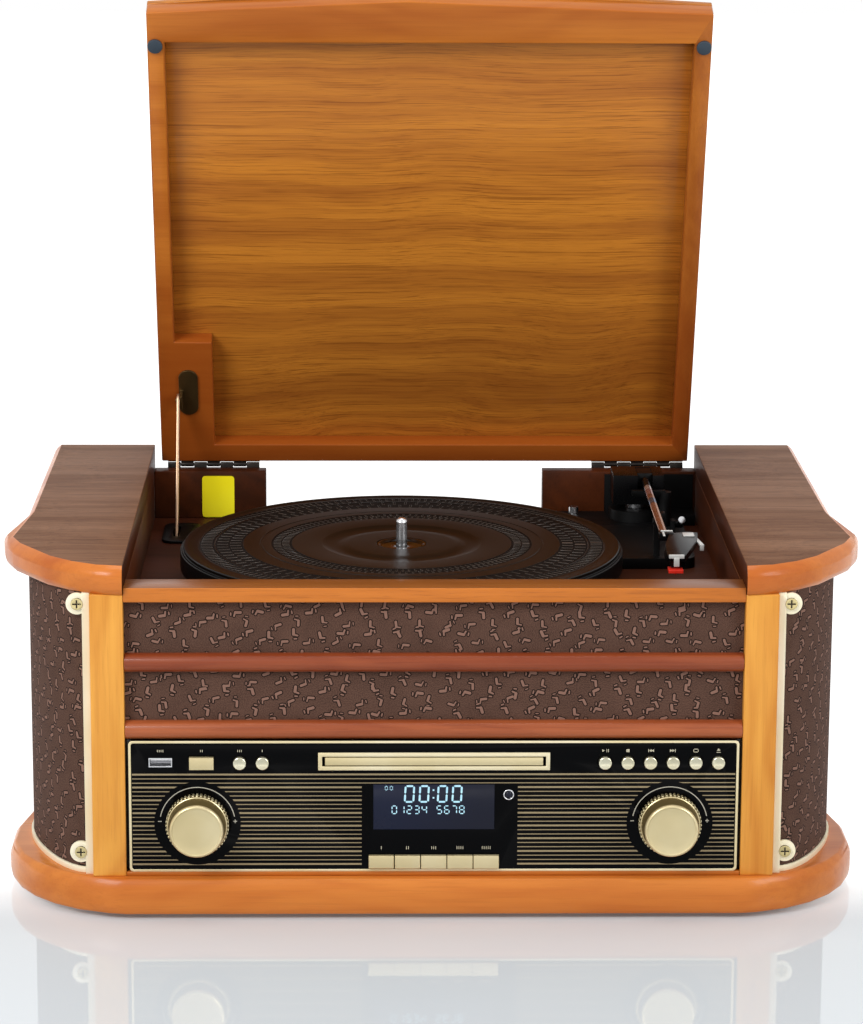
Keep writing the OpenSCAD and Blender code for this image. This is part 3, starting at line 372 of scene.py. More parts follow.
def makeFinishGroup():
    # small unevenness that keeps a moulded or painted surface from looking flat
    tree, given, out = newGroup(
        "surfaceFinish",
        [("Vector", "Vector", None), ("Base", "Color", None), ("Tint", "Color", None),
         ("Grain", "Float", 900.0), ("Low", "Float", 0.3), ("High", "Float", 0.45)],
        [("Color", "Color"), ("Height", "Float"), ("Roughness", "Float")],
    )
    cloud = noiseOf(tree, given["Vector"], 24.0, 3, 0.5)
    speck = noiseOf(tree, given["Vector"], given["Grain"], 2, 0.5)
    tree.links.new(
        blendColours(tree, spread(tree, cloud, 0.3, 0.7), given["Base"], given["Tint"]), out["Color"]
    )
    setSocket(tree, out["Height"], speck)
    share = sumOf(tree, times(tree, cloud, 0.6), times(tree, speck, 0.4))
    rough = calc(tree, "MULTIPLY_ADD", less(tree, given["High"], given["Low"]), share, given["Low"])
    setSocket(tree, out["Roughness"], rough)
    return tree


woodGroup = makeWoodGroup()
finishGroup = makeFinishGroup()


def wavyPlace(tree, place):
    # the veneer's lines wander low down on the lid
    spot = splitVector(tree, place)
    wander = noiseOf(tree, calcVector(tree, "MULTIPLY", place, (9.0, 5.0, 5.0)), 1, 1)
    wander = times(tree, less(tree, wander, 0.5), spread(tree, spot[2], 0.22, 0.36, 0.06, 0.012))
    return joinVector(tree, spot[0], spot[1], sumOf(tree, spot[2], wander))


def woodMaterial(
    name, light, dark, pores, turn=(0, 0, 0), fibre=0.5, figure=0.35, porosity=0.3, coat=0.15, bump=0.08,
    scale=(1, 1, 1), rough=0.0, wavy=False, paintedShade=None
):
    m, tree, shader = newMaterial(name, coat=coat, coatRoughness=0.12)
    shader.inputs["Specular IOR Level"].default_value = 0.2 if rough == 0 else 0.1
    place = wavyPlace(tree, objectPlace(tree)) if wavy else None
    place = addNode(
        tree, "ShaderNodeMapping", Vector=place, Scale=scale
    ).outputs[0] if wavy else objectPlace(tree, scale, turn)
    g = useGroup(
        tree, woodGroup, Vector=place, Light=hexColour(light), Dark=hexColour(dark),
        Pores=hexColour(pores), Fibre=fibre, Figure=figure, Porosity=porosity
    )
    colour = g["Color"]
    if paintedShade:  # painted shade: darker towards the hinge, where the lid's lower part lies in shadow
        height = splitVector(tree, objectPlace(tree))[2]
        colour = blendColours(tree, spread(tree, height, 0.2, 0.46, 0.7, 0.0), colour, hexColour(paintedShade))
    tree.links.new(colour, shader.inputs["Base Color"])
    setSocket(tree, shader.inputs["Roughness"], sumOf(tree, g["Roughness"], rough))
    addBump(tree, shader, g["Height"], bump)
    return m


def plainMaterial(
    name, base, tint, low, high, metallic=0.0, grain=900.0, bump=0.05, coat=0.0, specular=0.5
):
    m, tree, shader = newMaterial(name, metallic=metallic, coat=coat)
    shader.inputs["Specular IOR Level"].default_value = specular
    g = useGroup(
        tree, finishGroup, Vector=objectPlace(tree), Base=hexColour(base), Tint=hexColour(tint),
        Grain=grain, Low=low, High=high
    )
    tree.links.new(g["Color"], shader.inputs["Base Color"])
    tree.links.new(g["Roughness"], shader.inputs["Roughness"])
    addBump(tree, shader, g["Height"], bump, 0.1 * mm)
    return m


alongX = (0, 0, 0)
alongY = (0, 0, math.radians(90))
alongZ = (0, math.radians(90), 0)

postWood = woodMaterial("lacquered beech post", "E8A446", "C87C2A", "A85C1C", alongZ, 0.7, 0.3, 0.15)
railWood = woodMaterial("lacquered beech rail", "CC762A", "A65818", "6E3410", alongX, 0.8, 0.15, 0.25)
mouldingWood = woodMaterial("stained moulding", "AC5C34", "843A1C", "5E240E", alongX, 0.7, 0.15, 0.2, 0.3)
plinthWood = woodMaterial("lacquered base", "DB8638", "BC6422", "8C4414", alongX, 0.45, 0.12, 0.1)
edgeWood = woodMaterial("lacquered edge", "D67E34", "B65D20", "863F12", alongX, 0.45, 0.12, 0.1)
wallWood = woodMaterial("side wall veneer", "A86A3C", "84492A", "5A2A14", alongY, 0.5, 0.3, 0.3)
# dark reddish well wood, darkened further as painted shade for the deep well
shadedWellWood = woodMaterial(
    "well wall stain with painted shade", "522610", "34180A", "201006", alongY, 0.5, 0.2, 0.2, 0.05, rough=0.15
)
boardWood = woodMaterial(
    "dark stained board", "4E2616", "351A0F", "200E07", alongX, 0.5, 0.2, 0.2, 0.0, rough=0.2
)
lidWood = woodMaterial(
    "lid veneer", "CC802C", "A86222", "763E12", alongX, 1.1, 0.2, 0.55, 0.06, 0.1, (0.7, 2.6, 2.6),
    wavy=True
)
# the lid's frame and stiles carry painted shade that darkens them towards the hinge
frameWood = woodMaterial(
    "lid frame", "CC7A2C", "AA5A1A", "74360C", alongX, 0.6, 0.15, 0.1, 0.05, paintedShade="8A3C12"
)
stileWood = woodMaterial(
    "lid stile", "BE702A", "9A501A", "6E340C", alongZ, 0.6, 0.15, 0.1, 0.05, paintedShade="8A3C12"
)
ledgeWood = woodMaterial("rail ledge", "8C5226", "6A3A18", "46240E", alongX, 0.6, 0.15, 0.12, 0.05)
walnutWood = woodMaterial(
    "wing veneer", "845E44", "6A4833", "3C2418", alongX, 1.2, 0.3, 0.6, 0.0, 0.15, (0.8, 2.2, 2.2), 0.25,
    wavy=True
)
blackPlastic = plainMaterial("black moulding", "070707", "0D0D0E", 0.34, 0.5, grain=1400.0, specular=0.12)
rubberBlack = plainMaterial(
    "black rubber", "151516", "1E1E20", 0.6, 0.8, grain=1100.0, bump=0.12, specular=0.3
)
bumperRubber = plainMaterial("blue black rubber", "26333F", "31404C", 0.4, 0.6)
darkMetal = plainMaterial("bronzed plate", "4E3C20", "6A5432", 0.3, 0.45, metallic=0.85)
steelMetal = plainMaterial("bright steel", "C8C8CA", "DADADC", 0.16, 0.3, metallic=1.0)
brassMetal = plainMaterial("turned brass", "B8924A", "CAA660", 0.2, 0.35, metallic=1.0)
goldPaint = plainMaterial("pale gold trim", "E9DDBB", "DDCDA0", 0.28, 0.4, metallic=0.35)
champagne = plainMaterial("champagne metal", "D9CAA0", "CDBC8E", 0.26, 0.38, metallic=0.55)
glossBlack = plainMaterial(
    "piano black", "040405", "060607", 0.08, 0.14, grain=600.0, bump=0.01, specular=0.3
)
boardGreen = plainMaterial("circuit board", "1F5230", "2C6B3A", 0.4, 0.55)
redPlastic = plainMaterial("red stylus", "D82A1E", "E23C2C", 0.2, 0.3)
motorGrey = plainMaterial("motor can", "9A9CA0", "B0B2B6", 0.3, 0.4, metallic=0.8)
stickerYellow = plainMaterial("yellow label", "FFEE08", "FFF220", 0.4, 0.5)
print("plain materials made")

# floor, backdrop and light
stageValues = {
    "floorSize": 12.0, "worldLight": 0.5,
    # name, place, target, power, width and height of each lamp
    "lamps": [
        ("key left", (-1.3, -1.5, 1.5), (0, 0, 0.15), 30.0, 0.9, 0.9),
        ("fill right", (1.5, -1.3, 1.1), (0, 0, 0.15), 16.0, 0.9, 0.9),
        ("top", (0, -0.1, 2.0), (0, 0, 0), 7.0, 1.0, 0.8),
    ],
    "whiteFrom": 0.42, "whiteTo": 1.0,  # metres from the middle over which the floor turns to plain white
    "backFrom": -0.2, "backTo": -0.08,
}


def seenRays(tree):
    # 1 for the rays that show the background in the picture, in metal or through glass
    path = tree.nodes.new("ShaderNodeLightPath").outputs
    return most(tree, path["Is Camera Ray"], most(tree, path["Is Glossy Ray"], path["Is Transmission Ray"]))


def addStage(v):
    bpy.ops.mesh.primitive_plane_add(size=v["floorSize"], location=(0, 0, 0))
    floor = bpy.context.active_object
    floor.name = "floor"
    m, tree, shader = newMaterial("white studio floor", roughness=0.03)
    shader.inputs["Emission Strength"].default_value = 1.0
    place = objectPlace(tree)
    tone = blendColours(tree, noiseOf(tree, place, 3.0, 2), (0.65, 0.69, 0.72, 1), (0.68, 0.72, 0.75, 1))
    depth = splitVector(tree, place)[1]
    far = spread(tree, calcVector(tree, "LENGTH", place), v["whiteFrom"], v["whiteTo"])
    far = most(tree, far, spread(tree, depth, v["backFrom"], v["backTo"]))
    far = times(tree, far, seenRays(tree))
    tree.links.new(blendColours(tree, far, tone, (0.1, 0.1, 0.1, 1)), shader.inputs["Base Color"])
    tree.links.new(blendColours(tree, far, (0, 0, 0, 1), (1, 1, 1, 1)), shader.inputs["Emission Color"])
    floor.data.materials.append(m)

    world = bpy.data.worlds.new("studio")
    bpy.context.scene.world = world
    world.use_nodes = True
    tree = world.node_tree
    tree.nodes.clear()
    strength = most(tree, seenRays(tree), v["worldLight"])
    back = addNode(tree, "ShaderNodeBackground", Color=(1, 1, 1, 1), Strength=strength)
    tree.links.new(back.outputs[0], tree.nodes.new("ShaderNodeOutputWorld").inputs[0])


def addLamp(name, place, target, power, width, height):
    data = bpy.data.lights.new(name, "AREA")
    data.shape = "RECTANGLE"
    data.size = width
    data.size_y = height
    data.energy = power
    lamp = bpy.data.objects.new(name, data)
    lamp.location = place
    lamp.rotation_euler = (Vector(target) - Vector(place)).to_track_quat("-Z", "Y").to_euler()
    bpy.context.scene.collection.objects.link(lamp)


addStage(stageValues)
for lamp in stageValues["lamps"]:
    addLamp(*lamp)
bpy.context.scene.view_settings.view_transform = "Standard"

# cabinet
cabinetValues = {
    "wingTop": 217.3 * mm, "wellX": 185.0 * mm, "edge": 0.7 * mm,
    "ledge": 190 * mm, "mouldingLow": 40 * mm, "mouldingHigh": 180 * mm,
}


def dress(node, material):
    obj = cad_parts[node]
    if not obj.data.materials:
        obj.data.materials.append(material)
    for i in range(len(obj.data.materials)):
        obj.data.materials[i] = material


def paintFaces(obj, index, test):
    for f in obj.data.polygons:
        if test(f.center, f.normal):
            f.material_index = index


def makeCabinet(v):
    roundedCopy("front_posts", "postBoards", "cabinet", [postWood, shadedWellWood], v["edge"])
    woods = [edgeWood, walnutWood, shadedWellWood]
    wings = roundedCopy("wings", "wingTops", "cabinet", woods, 0.5 * mm, 2, 8, 30)
    paintFaces(wings, 1, lambda c, n: n.z > 0.9 and c.z > v["wingTop"] - 0.6 * mm)
    # the wings' inner faces towards the well take the darkened well wood: painted shade
    paintFaces(wings, 2, lambda c, n: abs(n.x) > 0.6 and abs(c.x) < v["wellX"] + 1 * mm)
    roundedCopy("plinth", "baseBoard", "cabinet", plinthWood, 1.0 * mm, 3, 8, 30)
    woods = [railWood, mouldingWood, ledgeWood]
    rails = roundedCopy("front_rails", "frontRails", "cabinet", woods, 0.6 * mm, 3, 3)
    paintFaces(rails, 1, lambda c, n: v["mouldingLow"] < c.z < v["mouldingHigh"])
    paintFaces(rails, 2, lambda c, n: n.z > 0.9 and c.z > v["ledge"])
    walls = roundedCopy("side_panels", "sideWalls", "cabinet", [wallWood, shadedWellWood], 0.5 * mm, 2)
    # the walls' inner faces towards the well take the darkened well wood: painted shade
    paintFaces(walls, 1, lambda c, n: abs(c.x) < v["wellX"] + 2 * mm and abs(n.x) > 0.5)
    roundedCopy("back_wall", "backWall", "cabinet", boardWood, 0.4 * mm, 2)
    # the hinge posts take the darkened well wood: painted shade
    roundedCopy("hinge_posts", "hingePosts", "cabinet", shadedWellWood, 0.7 * mm, 3)
    roundedCopy("feet", "feetDiscs", "cabinet", rubberBlack, 0.5 * mm, 2)
    dress("deck", boardWood)
    dress("baffles", boardWood)


makeCabinet(cabinetValues)
print("cabinet made")

# grille cloth
clothValues = {
    "cell": (14.6, 12.0),  # mm between the woven hooks, across and up
    "stagger": 0.37, "jitter": (5.0, 3.6), "secondLayer": (7.1, 5.6), "threadPitch": 0.85,
    # start, end and radius of a hook's arm, foot and curl, in mm
    "strokes": [
        ((-1.7, 2.0), (-0.3, -0.6), 0.92),
        ((-0.3, -0.8), (2.1, -0.2), 0.56),
        ((1.3, -2.9), (2.5, -2.2), 0.46),
    ],
    # the side cloth's two curves seen from above, from the post round to the back, in mm, and their steps
    "curves": [
        ([(210.0, -171.2), (227.0, -167.0), (248.5, -115.0), (248.5, -87.0)], 24),
        ([(248.5, -87.0), (248.5, -67.0), (245.2, -59.0), (245.2, -38.1)], 12),
    ],
    # the rim colour is painted shade round each hook
    "Ground": "664A3E", "Ground_Dark": "22150F", "Hook": "8A685A", "RimShade": "0E0705",
}


def capsule(tree, point, a, b, radius):
    # how far a point lies outside a round-ended stroke from a to b
    run = (b[0] - a[0], b[1] - a[1], 0)
    pa = calcVector(tree, "SUBTRACT", point, (a[0], a[1], 0))
    share = calcVector(tree, "DOT_PRODUCT", pa, run)
    share = calc(tree, "DIVIDE", share, run[0] ** 2 + run[1] ** 2, clamp=True)
    along = calcVector(tree, "SCALE", run, scale=share)
    return less(tree, calcVector(tree, "LENGTH", calcVector(tree, "SUBTRACT", pa, along)), radius)


def hookLayer(tree, given, shift, v):
    # one hook per cell, moved and turned by chance
    place = calcVector(tree, "ADD", given["Vector"], (shift[0], shift[1], 0))
    grid = splitVector(tree, calcVector(tree, "DIVIDE", place, given["Cell"]))
    row = calc(tree, "FLOOR", grid[1])
    across = sumOf(tree, grid[0], times(tree, row, v["stagger"]))
    column = calc(tree, "FLOOR", across)
    seed = joinVector(tree, column, row, shift[0])
    chance = addNode(tree, "ShaderNodeTexWhiteNoise", {"noise_dimensions": "3D"}, Vector=seed).outputs
    luck = addNode(tree, "ShaderNodeSeparateColor", Color=chance["Color"]).outputs
    inCell = [less(tree, less(tree, a, b), 0.5) for a, b in ((across, column), (grid[1], row))]
    inCell = joinVector(tree, *inCell)
    local = calcVector(tree, "MULTIPLY", inCell, given["Cell"])
    jitter = [times(tree, less(tree, luck[i], 0.5), v["jitter"][i]) for i in (0, 1)]
    local = calcVector(tree, "ADD", local, joinVector(tree, *jitter))
    quarter = times(tree, calc(tree, "FLOOR", times(tree, luck[2], 4.0)), math.pi / 2)
    quarter = sumOf(tree, quarter, times(tree, luck[0], 0.8))
    turn = addNode(
        tree, "ShaderNodeVectorRotate", {"rotation_type": "Z_AXIS"}, Vector=local, Angle=quarter
    ).outputs[0]
    arm, foot, curl = (capsule(tree, turn, *stroke) for stroke in v["strokes"])
    return calc(tree, "MINIMUM", calc(tree, "MINIMUM", arm, foot), curl)


def weaveOf(tree, vector, pitch):
    lanes = splitVector(tree, vector)
    u, w = (calc(tree, "SINE", times(tree, lanes[i], 2 * math.pi / pitch)) for i in (0, 1))
    return calc(tree, "MULTIPLY_ADD", times(tree, u, w), 0.5, 0.5)


def makeClothGroup(v):
    tree, given, out = newGroup(
        "wovenHooks",
        [("Vector", "Vector", None), ("Cell", "Vector", None), ("Ground", "Color", None),
         ("Ground Dark", "Color", None), ("Hook", "Color", None), ("RimShade", "Color", None)],
        [("Color", "Color"), ("Height", "Float")],
    )
    second = sumOf(tree, hookLayer(tree, given, v["secondLayer"], v), 0.12)
    hooks = calc(tree, "MINIMUM", hookLayer(tree, given, (0.0, 0.0), v), second)
    threads = weaveOf(tree, given["Vector"], v["threadPitch"])
    fuzz = noiseOf(tree, given["Vector"], 1.6, 2, 0.6)
    patch = noiseOf(tree, given["Vector"], 0.05, 2)
    mottle = times(tree, sumOf(tree, spread(tree, fuzz, 0.36, 0.64), patch), 0.5)
    mottle = sumOf(tree, times(tree, threads, 0.3), mottle, clamp=True)
    weave = blendColours(tree, mottle, given["Ground Dark"], given["Ground"])
    # a dark rim round each hook is painted shade along the raised hook's edge; the bump sinks it too
    rimShadeMask = less(tree, 1.0, spread(tree, hooks, 0.4, 0.75))
    hookMask = less(tree, 1.0, spread(tree, hooks, -0.12, 0.1))
    weave = blendColours(tree, rimShadeMask, weave, given["RimShade"])
    weave = blendColours(tree, times(tree, hookMask, 0.95), weave, given["Hook"])
    tree.links.new(weave, out["Color"])
    relief = less(tree, hookMask, times(tree, rimShadeMask, 0.5))
    setSocket(tree, out["Height"], sumOf(tree, times(tree, threads, 0.35), relief))
    return tree


def clothMaterial(v):
    m, tree, shader = newMaterial("woven grille cloth", roughness=0.85)
    shader.inputs["Specular IOR Level"].default_value = 0.15
    uv = addNode(tree, "ShaderNodeUVMap", {"uv_map": "cloth"}).outputs[0]
    place = addNode(tree, "ShaderNodeMapping", Vector=uv, Scale=(1000, 1000, 1000)).outputs[0]
    colours = {key: hexColour(v[key]) for key in ("Ground", "Ground_Dark", "Hook", "RimShade")}
    g = useGroup(tree, makeClothGroup(v), Vector=place, Cell=(v["cell"][0], v["cell"][1], 1.0), **colours)
    tree.links.new(g["Color"], shader.inputs["Base Color"])
    addBump(tree, shader, g["Height"], 0.35, 0.25 * mm)
    return m


def bezierRow(p, steps):
    row = []
    for i in range(steps + 1):
        t = i / steps
        u = 1 - t
        shares = (u ** 3, 3 * u * u * t, 3 * u * t * t, t ** 3)
        row.append(tuple(sum(share * point[k] for share, point in zip(shares, p)) for k in (0, 1)))
    return row


def sidePlan(v):
    # the curved cloth's outer line on the right, in metres
    first, second = (bezierRow(points, steps) for points, steps in v["curves"])
    return [(x * mm, y * mm) for x, y in first + second[1:]]


def runAlong(plan, x, y):
    # how far along the line its point nearest to x, y lies, and the line's length
    best, total = (1e9, 0.0), 0.0
    for (ax, ay), (bx, by) in zip(plan, plan[1:]):
        length = math.hypot(bx - ax, by - ay)
        t = min(1, max(0, ((x - ax) * (bx - ax) + (y - ay) * (by - ay)) / length ** 2))
        gap = math.hypot(x - ax - t * (bx - ax), y - ay - t * (by - ay))
        if gap < best[0]:
            best = (gap, total + t * length)
        total += length
    return best[1], total


def makeCloth(v):
    material = clothMaterial(v)
    plan = sidePlan(v)
    mergedCopy("grille_cloth", 1.0)
    editAll()
    bpy.ops.mesh.separate(type="LOOSE")
    objectMode()
    for obj in list(bpy.context.selected_objects):
        lo = [min(c[k] for c in obj.bound_box) for k in range(3)]
        hi = [max(c[k] for c in obj.bound_box) for k in range(3)]
        side = abs(lo[0] + hi[0]) > 0.1
        layer = obj.data.uv_layers.new(name="cloth")
        for loop in obj.data.loops:
            p = obj.data.vertices[loop.vertex_index].co
            u = runAlong(plan, abs(p.x), p.y)[0] * (1 if p.x > 0 else -1) if side else p.x
            layer.data[loop.index].uv = (u, p.z)
        if side:
            name = "sideClothRight" if lo[0] > 0 else "sideClothLeft"
            flat = (runAlong(plan, 1, 1)[1], hi[2] - lo[2])
        else:
            name = "frontClothUpper" if lo[2] > 150 * mm else "frontClothLower"
            flat = (hi[0] - lo[0], hi[2] - lo[2])
        finishPiece(obj, name, "cabinet", material, 30)
        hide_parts("grille_cloth")


makeCloth(clothValues)
print("cloth made")

# control panel
panelValues = {
    "frontY": -179.4, "firstLine": 88.7, "linePitch": 2.68, "lines": 22, "thick": 0.54, "thin": 0.27,
    "lineEnd": 181.0, "blockLeft": -43.4, "blockRight": 50.4, "knobX": 142.0, "knobZ": 58.1,
    "discR": 26.0, "arcR": 22.6,
    "black": "030304", "line": "98886A", "arc": "B9B4A6",
    # the tray's front is a little smaller than its frame, for a dark gap round it
    "trayBack": -176.5, "trayZ": 96.95, "trayFit": (0.977, 1, 0.86),
}


def between(tree, value, low, high, soft=0.07):
    # 1 inside a span and 0 outside it, with a narrow soft edge
    rise = spread(tree, value, low - soft, low + soft)
    return times(tree, rise, spread(tree, value, high - soft, high + soft, 1.0, 0.0))


def fasciaPrint(v):
    m, tree, shader = newMaterial("printed fascia")
    shader.inputs["Specular IOR Level"].default_value = 0.06
    place = ownPlace(tree)
    spot = splitVector(tree, calcVector(tree, "SCALE", place, scale=1000.0))
    x, z = spot[0], spot[2]
    row = calc(tree, "DIVIDE", less(tree, v["firstLine"] + v["linePitch"] / 2, z), v["linePitch"])
    k = calc(tree, "FLOOR", row)
    off = calc(tree, "ABSOLUTE", less(tree, less(tree, row, k), 0.5))
    bold = calc(tree, "LESS_THAN", calc(tree, "MODULO", k, 3.0), 0.5)
    half = calc(tree, "MULTIPLY_ADD", bold, v["thick"] - v["thin"], v["thin"])
    edge = less(tree, times(tree, off, v["linePitch"]), half)
    rows = between(tree, k, -0.5, v["lines"] - 0.5, 0.1)
    line = times(tree, spread(tree, edge, -0.09, 0.09, 1.0, 0.0), rows)
    farX = calc(tree, "ABSOLUTE", x)
    line = times(tree, line, spread(tree, farX, v["lineEnd"] - 0.1, v["lineEnd"] + 0.1, 1.0, 0.0))
    below = calc(tree, "GREATER_THAN", k, 2.5)
    block = times(tree, between(tree, x, v["blockLeft"], v["blockRight"]), below)
    line = times(tree, line, less(tree, 1.0, block))
    dx = less(tree, farX, v["knobX"])
    dz = less(tree, z, v["knobZ"])
    out = calc(tree, "SQRT", sumOf(tree, times(tree, dx, dx), times(tree, dz, dz)))
    line = times(tree, line, spread(tree, out, v["discR"] - 0.1, v["discR"] + 0.1))
    ring = between(tree, out, v["arcR"] - 0.26, v["arcR"] + 0.26)
    arc = times(tree, ring, calc(tree, "GREATER_THAN", dz, 4.3))
    aside = calc(tree, "ABSOLUTE", less(tree, calc(tree, "ABSOLUTE", dx), v["arcR"]))
    above = calc(tree, "ABSOLUTE", less(tree, dz, 1.3))
    minus = times(tree, between(tree, aside, -1, 1.1), between(tree, above, -1, 0.26))
    plus = times(tree, between(tree, aside, -1, 0.26), between(tree, above, -1, 1.1))
    plus = times(tree, plus, calc(tree, "GREATER_THAN", times(tree, dx, x), 0.0))
    scale = most(tree, arc, most(tree, minus, plus))
    colour = blendColours(tree, line, hexColour(v["black"]), hexColour(v["line"]))
    colour = blendColours(tree, scale, colour, hexColour(v["arc"]))
    haze = noiseOf(tree, place, 30.0, 2)
    tree.links.new(colour, shader.inputs["Base Color"])
    setSocket(tree, shader.inputs["Metallic"], times(tree, line, 0.3))
    rough = sumOf(tree, times(tree, line, 0.25), times(tree, haze, 0.2))
    setSocket(tree, shader.inputs["Roughness"], rough)
    return m


def glassMaterial():
    m, tree, shader = newMaterial("display glass", coat=0.08, coatRoughness=0.05)
    shader.inputs["Specular IOR Level"].default_value = 0.15
    place = ownPlace(tree)
    x = splitVector(tree, place)[0]
    tone = blendColours(tree, spread(tree, x, -0.03, 0.035), hexColour("161B30"), hexColour("181A28"))
    tree.links.new(tone, shader.inputs["Base Color"])
    setSocket(tree, shader.inputs["Roughness"], times(tree, noiseOf(tree, place, 60.0), 0.4))
    return m


def glowMaterial():
    m, tree, shader = newMaterial("lit segments", roughness=0.4)
    place = ownPlace(tree)
    tone = blendColours(tree, noiseOf(tree, place, 500.0, 1), hexColour("7EAABE"), hexColour("AED2DE"))
    tree.links.new(tone, shader.inputs["Base Color"])
    tree.links.new(tone, shader.inputs["Emission Color"])
    shader.inputs["Emission Strength"].default_value = 0.6
    return m


fasciaInk = fasciaPrint(panelValues)
printInk = plainMaterial("pale print", "B4AC94", "C4BCA4", 0.4, 0.5)
displayGlass = glassMaterial()
displayGlow = glowMaterial()


def makeFascia(v):
    inks = [glossBlack, fasciaInk]
    panel = roundedCopy("fascia", "fasciaPanel", "cabinet", inks, 0.12 * mm, 2, 3, 40)
    paintFaces(panel, 1, lambda c, n: n.y < -0.9 and c.y < (v["frontY"] + 0.2) * mm)
    roundedCopy("fascia_border", "fasciaBorder", "cabinet", goldPaint, 0.25 * mm, 2, 3, 40)
    roundedCopy("display_window", "displayGlass", "cabinet", displayGlass, 0.2 * mm, 2)
    looks = [blackPlastic, champagne]
    tray = roundedCopy("cd_tray", "discTray", "tray", looks, 0.35 * mm, 3, 3, 40)
    pickFaces(tray, lambda c, n: c.y < v["trayBack"] * mm)
    bpy.ops.transform.resize(value=v["trayFit"], center_override=(0, v["trayBack"] * mm, v["trayZ"] * mm))
    objectMode()
    paintFaces(tray, 1, lambda c, n: c.y < (v["frontY"] + 2.5) * mm)
    looks = [steelMetal, blackPlastic]
    ends = roundedCopy("sockets", "socketShells", "cabinet", looks, 0.15 * mm, 2, 3, 40)
    paintFaces(ends, 1, lambda c, n: c.y > 0 and c.x > 0)


makeFascia(panelValues)
print("fascia made")

# display figures, sensor and marks above the buttons
rowPlaces = [-23.8 + 4.508 * i for i in range(10) if i != 5]
figureValues = {
    "y": -179.38, "colonX": -0.3, "colonZ": (74.0, 78.8), "dot": 1.0, "thick": 0.04,
    # figures, their X places, Z, height, width, bar, length of flat and upright bars, and lean
    "rows": [
        ("0000", (-14.7, -5.9, 5.1, 13.9), 76.4, 9.85, 5.15, 1.15, 3.31, 3.43, 0.05),
        ("012345678", rowPlaces, 66.5, 4.8, 2.7, 0.62, 1.5, 1.3, 0.0),
        ("00", (-28.6, -25.6), 80.1, 2.3, 1.5, 0.42, 0.7, 0.45, 0.0),
    ],
}
segmentsOf = {
    "0": "abcdef", "1": "bc", "2": "abged", "3": "abgcd", "4": "fgbc", "5": "afgcd", "6": "afgedc",
    "7": "abc", "8": "abcdefg", "9": "abcdfg",
}


def segmentMaster(length, thick):
    # one lit bar with pointed ends, lying along X
    obj = addBox((0, 0, 0), (length * mm, 0.04 * mm, thick * mm))
    pickFaces(obj, lambda c, n: abs(n.x) > 0.9)
    bpy.ops.mesh.extrude_region_shrink_fatten(TRANSFORM_OT_shrink_fatten={"value": thick * 0.42 * mm})
    bpy.ops.transform.resize(value=(1, 1, 0.12))
    objectMode()
    return obj


def placedCopy(source, place, turn=0.0, size=(1, 1, 1)):
    obj = source.copy()
    obj.data = source.data.copy()
    bpy.context.scene.collection.objects.link(obj)
    obj.scale = size
    obj.rotation_euler = (0, turn, 0)
    obj.location = place
    applyPlace(obj)
    return obj


def drawFigure(text, x, y, z, height, width, flat, upright, lean):
    # the bars of one figure, from one flat and one upright master
    half, side = height / 2, width / 2
    spots = {
        "a": (0, half), "g": (0, 0), "d": (0, -half),
        "f": (-side, half / 2), "b": (side, half / 2), "e": (-side, -half / 2), "c": (side, -half / 2),
    }
    made = []
    for s in segmentsOf[text]:
        dx, dz = spots[s]
        place = ((x + dx + dz * lean) * mm, y * mm, (z + dz) * mm)
        if dx:
            made.append(placedCopy(upright, place, math.radians(90) + lean))
        else:
            made.append(placedCopy(flat, place))
    return made


def makeFigures(v):
    lit = []
    for text, places, z, height, width, bar, flatLength, uprightLength, lean in v["rows"]:
        flat = segmentMaster(flatLength, bar)
        upright = segmentMaster(uprightLength, bar)
        for figure, x in zip(text, places):
            lit += drawFigure(figure, x, v["y"], z, height, width, flat, upright, lean)
        bpy.data.objects.remove(flat)
        bpy.data.objects.remove(upright)
    dot = addBox((0, 0, 0), (v["dot"] * mm, v["thick"] * mm, v["dot"] * mm))
    lit += [placedCopy(dot, (v["colonX"] * mm, v["y"] * mm, z * mm)) for z in v["colonZ"]]
    bpy.data.objects.remove(dot)
    finishPiece(joinPieces(lit), "displayFigures", "cabinet", displayGlow)


markValues = {
    "y": -179.43, "z": 103.4, "first": 102.6, "pitch": 13.6, "size": 2.0, "keyZ": 42.6, "keyPitch": 15.8,
    "dashes": ((-116.5, 3), (-102.9, 1), (-139.3, 2), (-163.9, 4)),  # place along X and number of dashes
}


def wedgeMaster():
    # a triangle pointing right, flat on the panel
    bpy.ops.object.select_all(action="DESELECT")
    bpy.ops.mesh.primitive_cylinder_add(vertices=3, radius=0.5 * mm, depth=0.04 * mm)
    obj = bpy.context.active_object
    obj.rotation_euler = (math.radians(90), 0, 0)
    applyPlace(obj)
    editAll()
    bpy.ops.transform.rotate(value=math.radians(90), orient_axis="Y", center_override=(0, 0, 0))
    bpy.ops.mesh.bevel(offset=0.02 * mm, segments=1)
    objectMode()
    if max(p.co.x for p in obj.data.vertices) < 0.4 * mm:
        obj.scale = (-1, 1, 1)
        applyPlace(obj)
        editAll()
        bpy.ops.mesh.normals_make_consistent(inside=False)
        objectMode()
    return obj


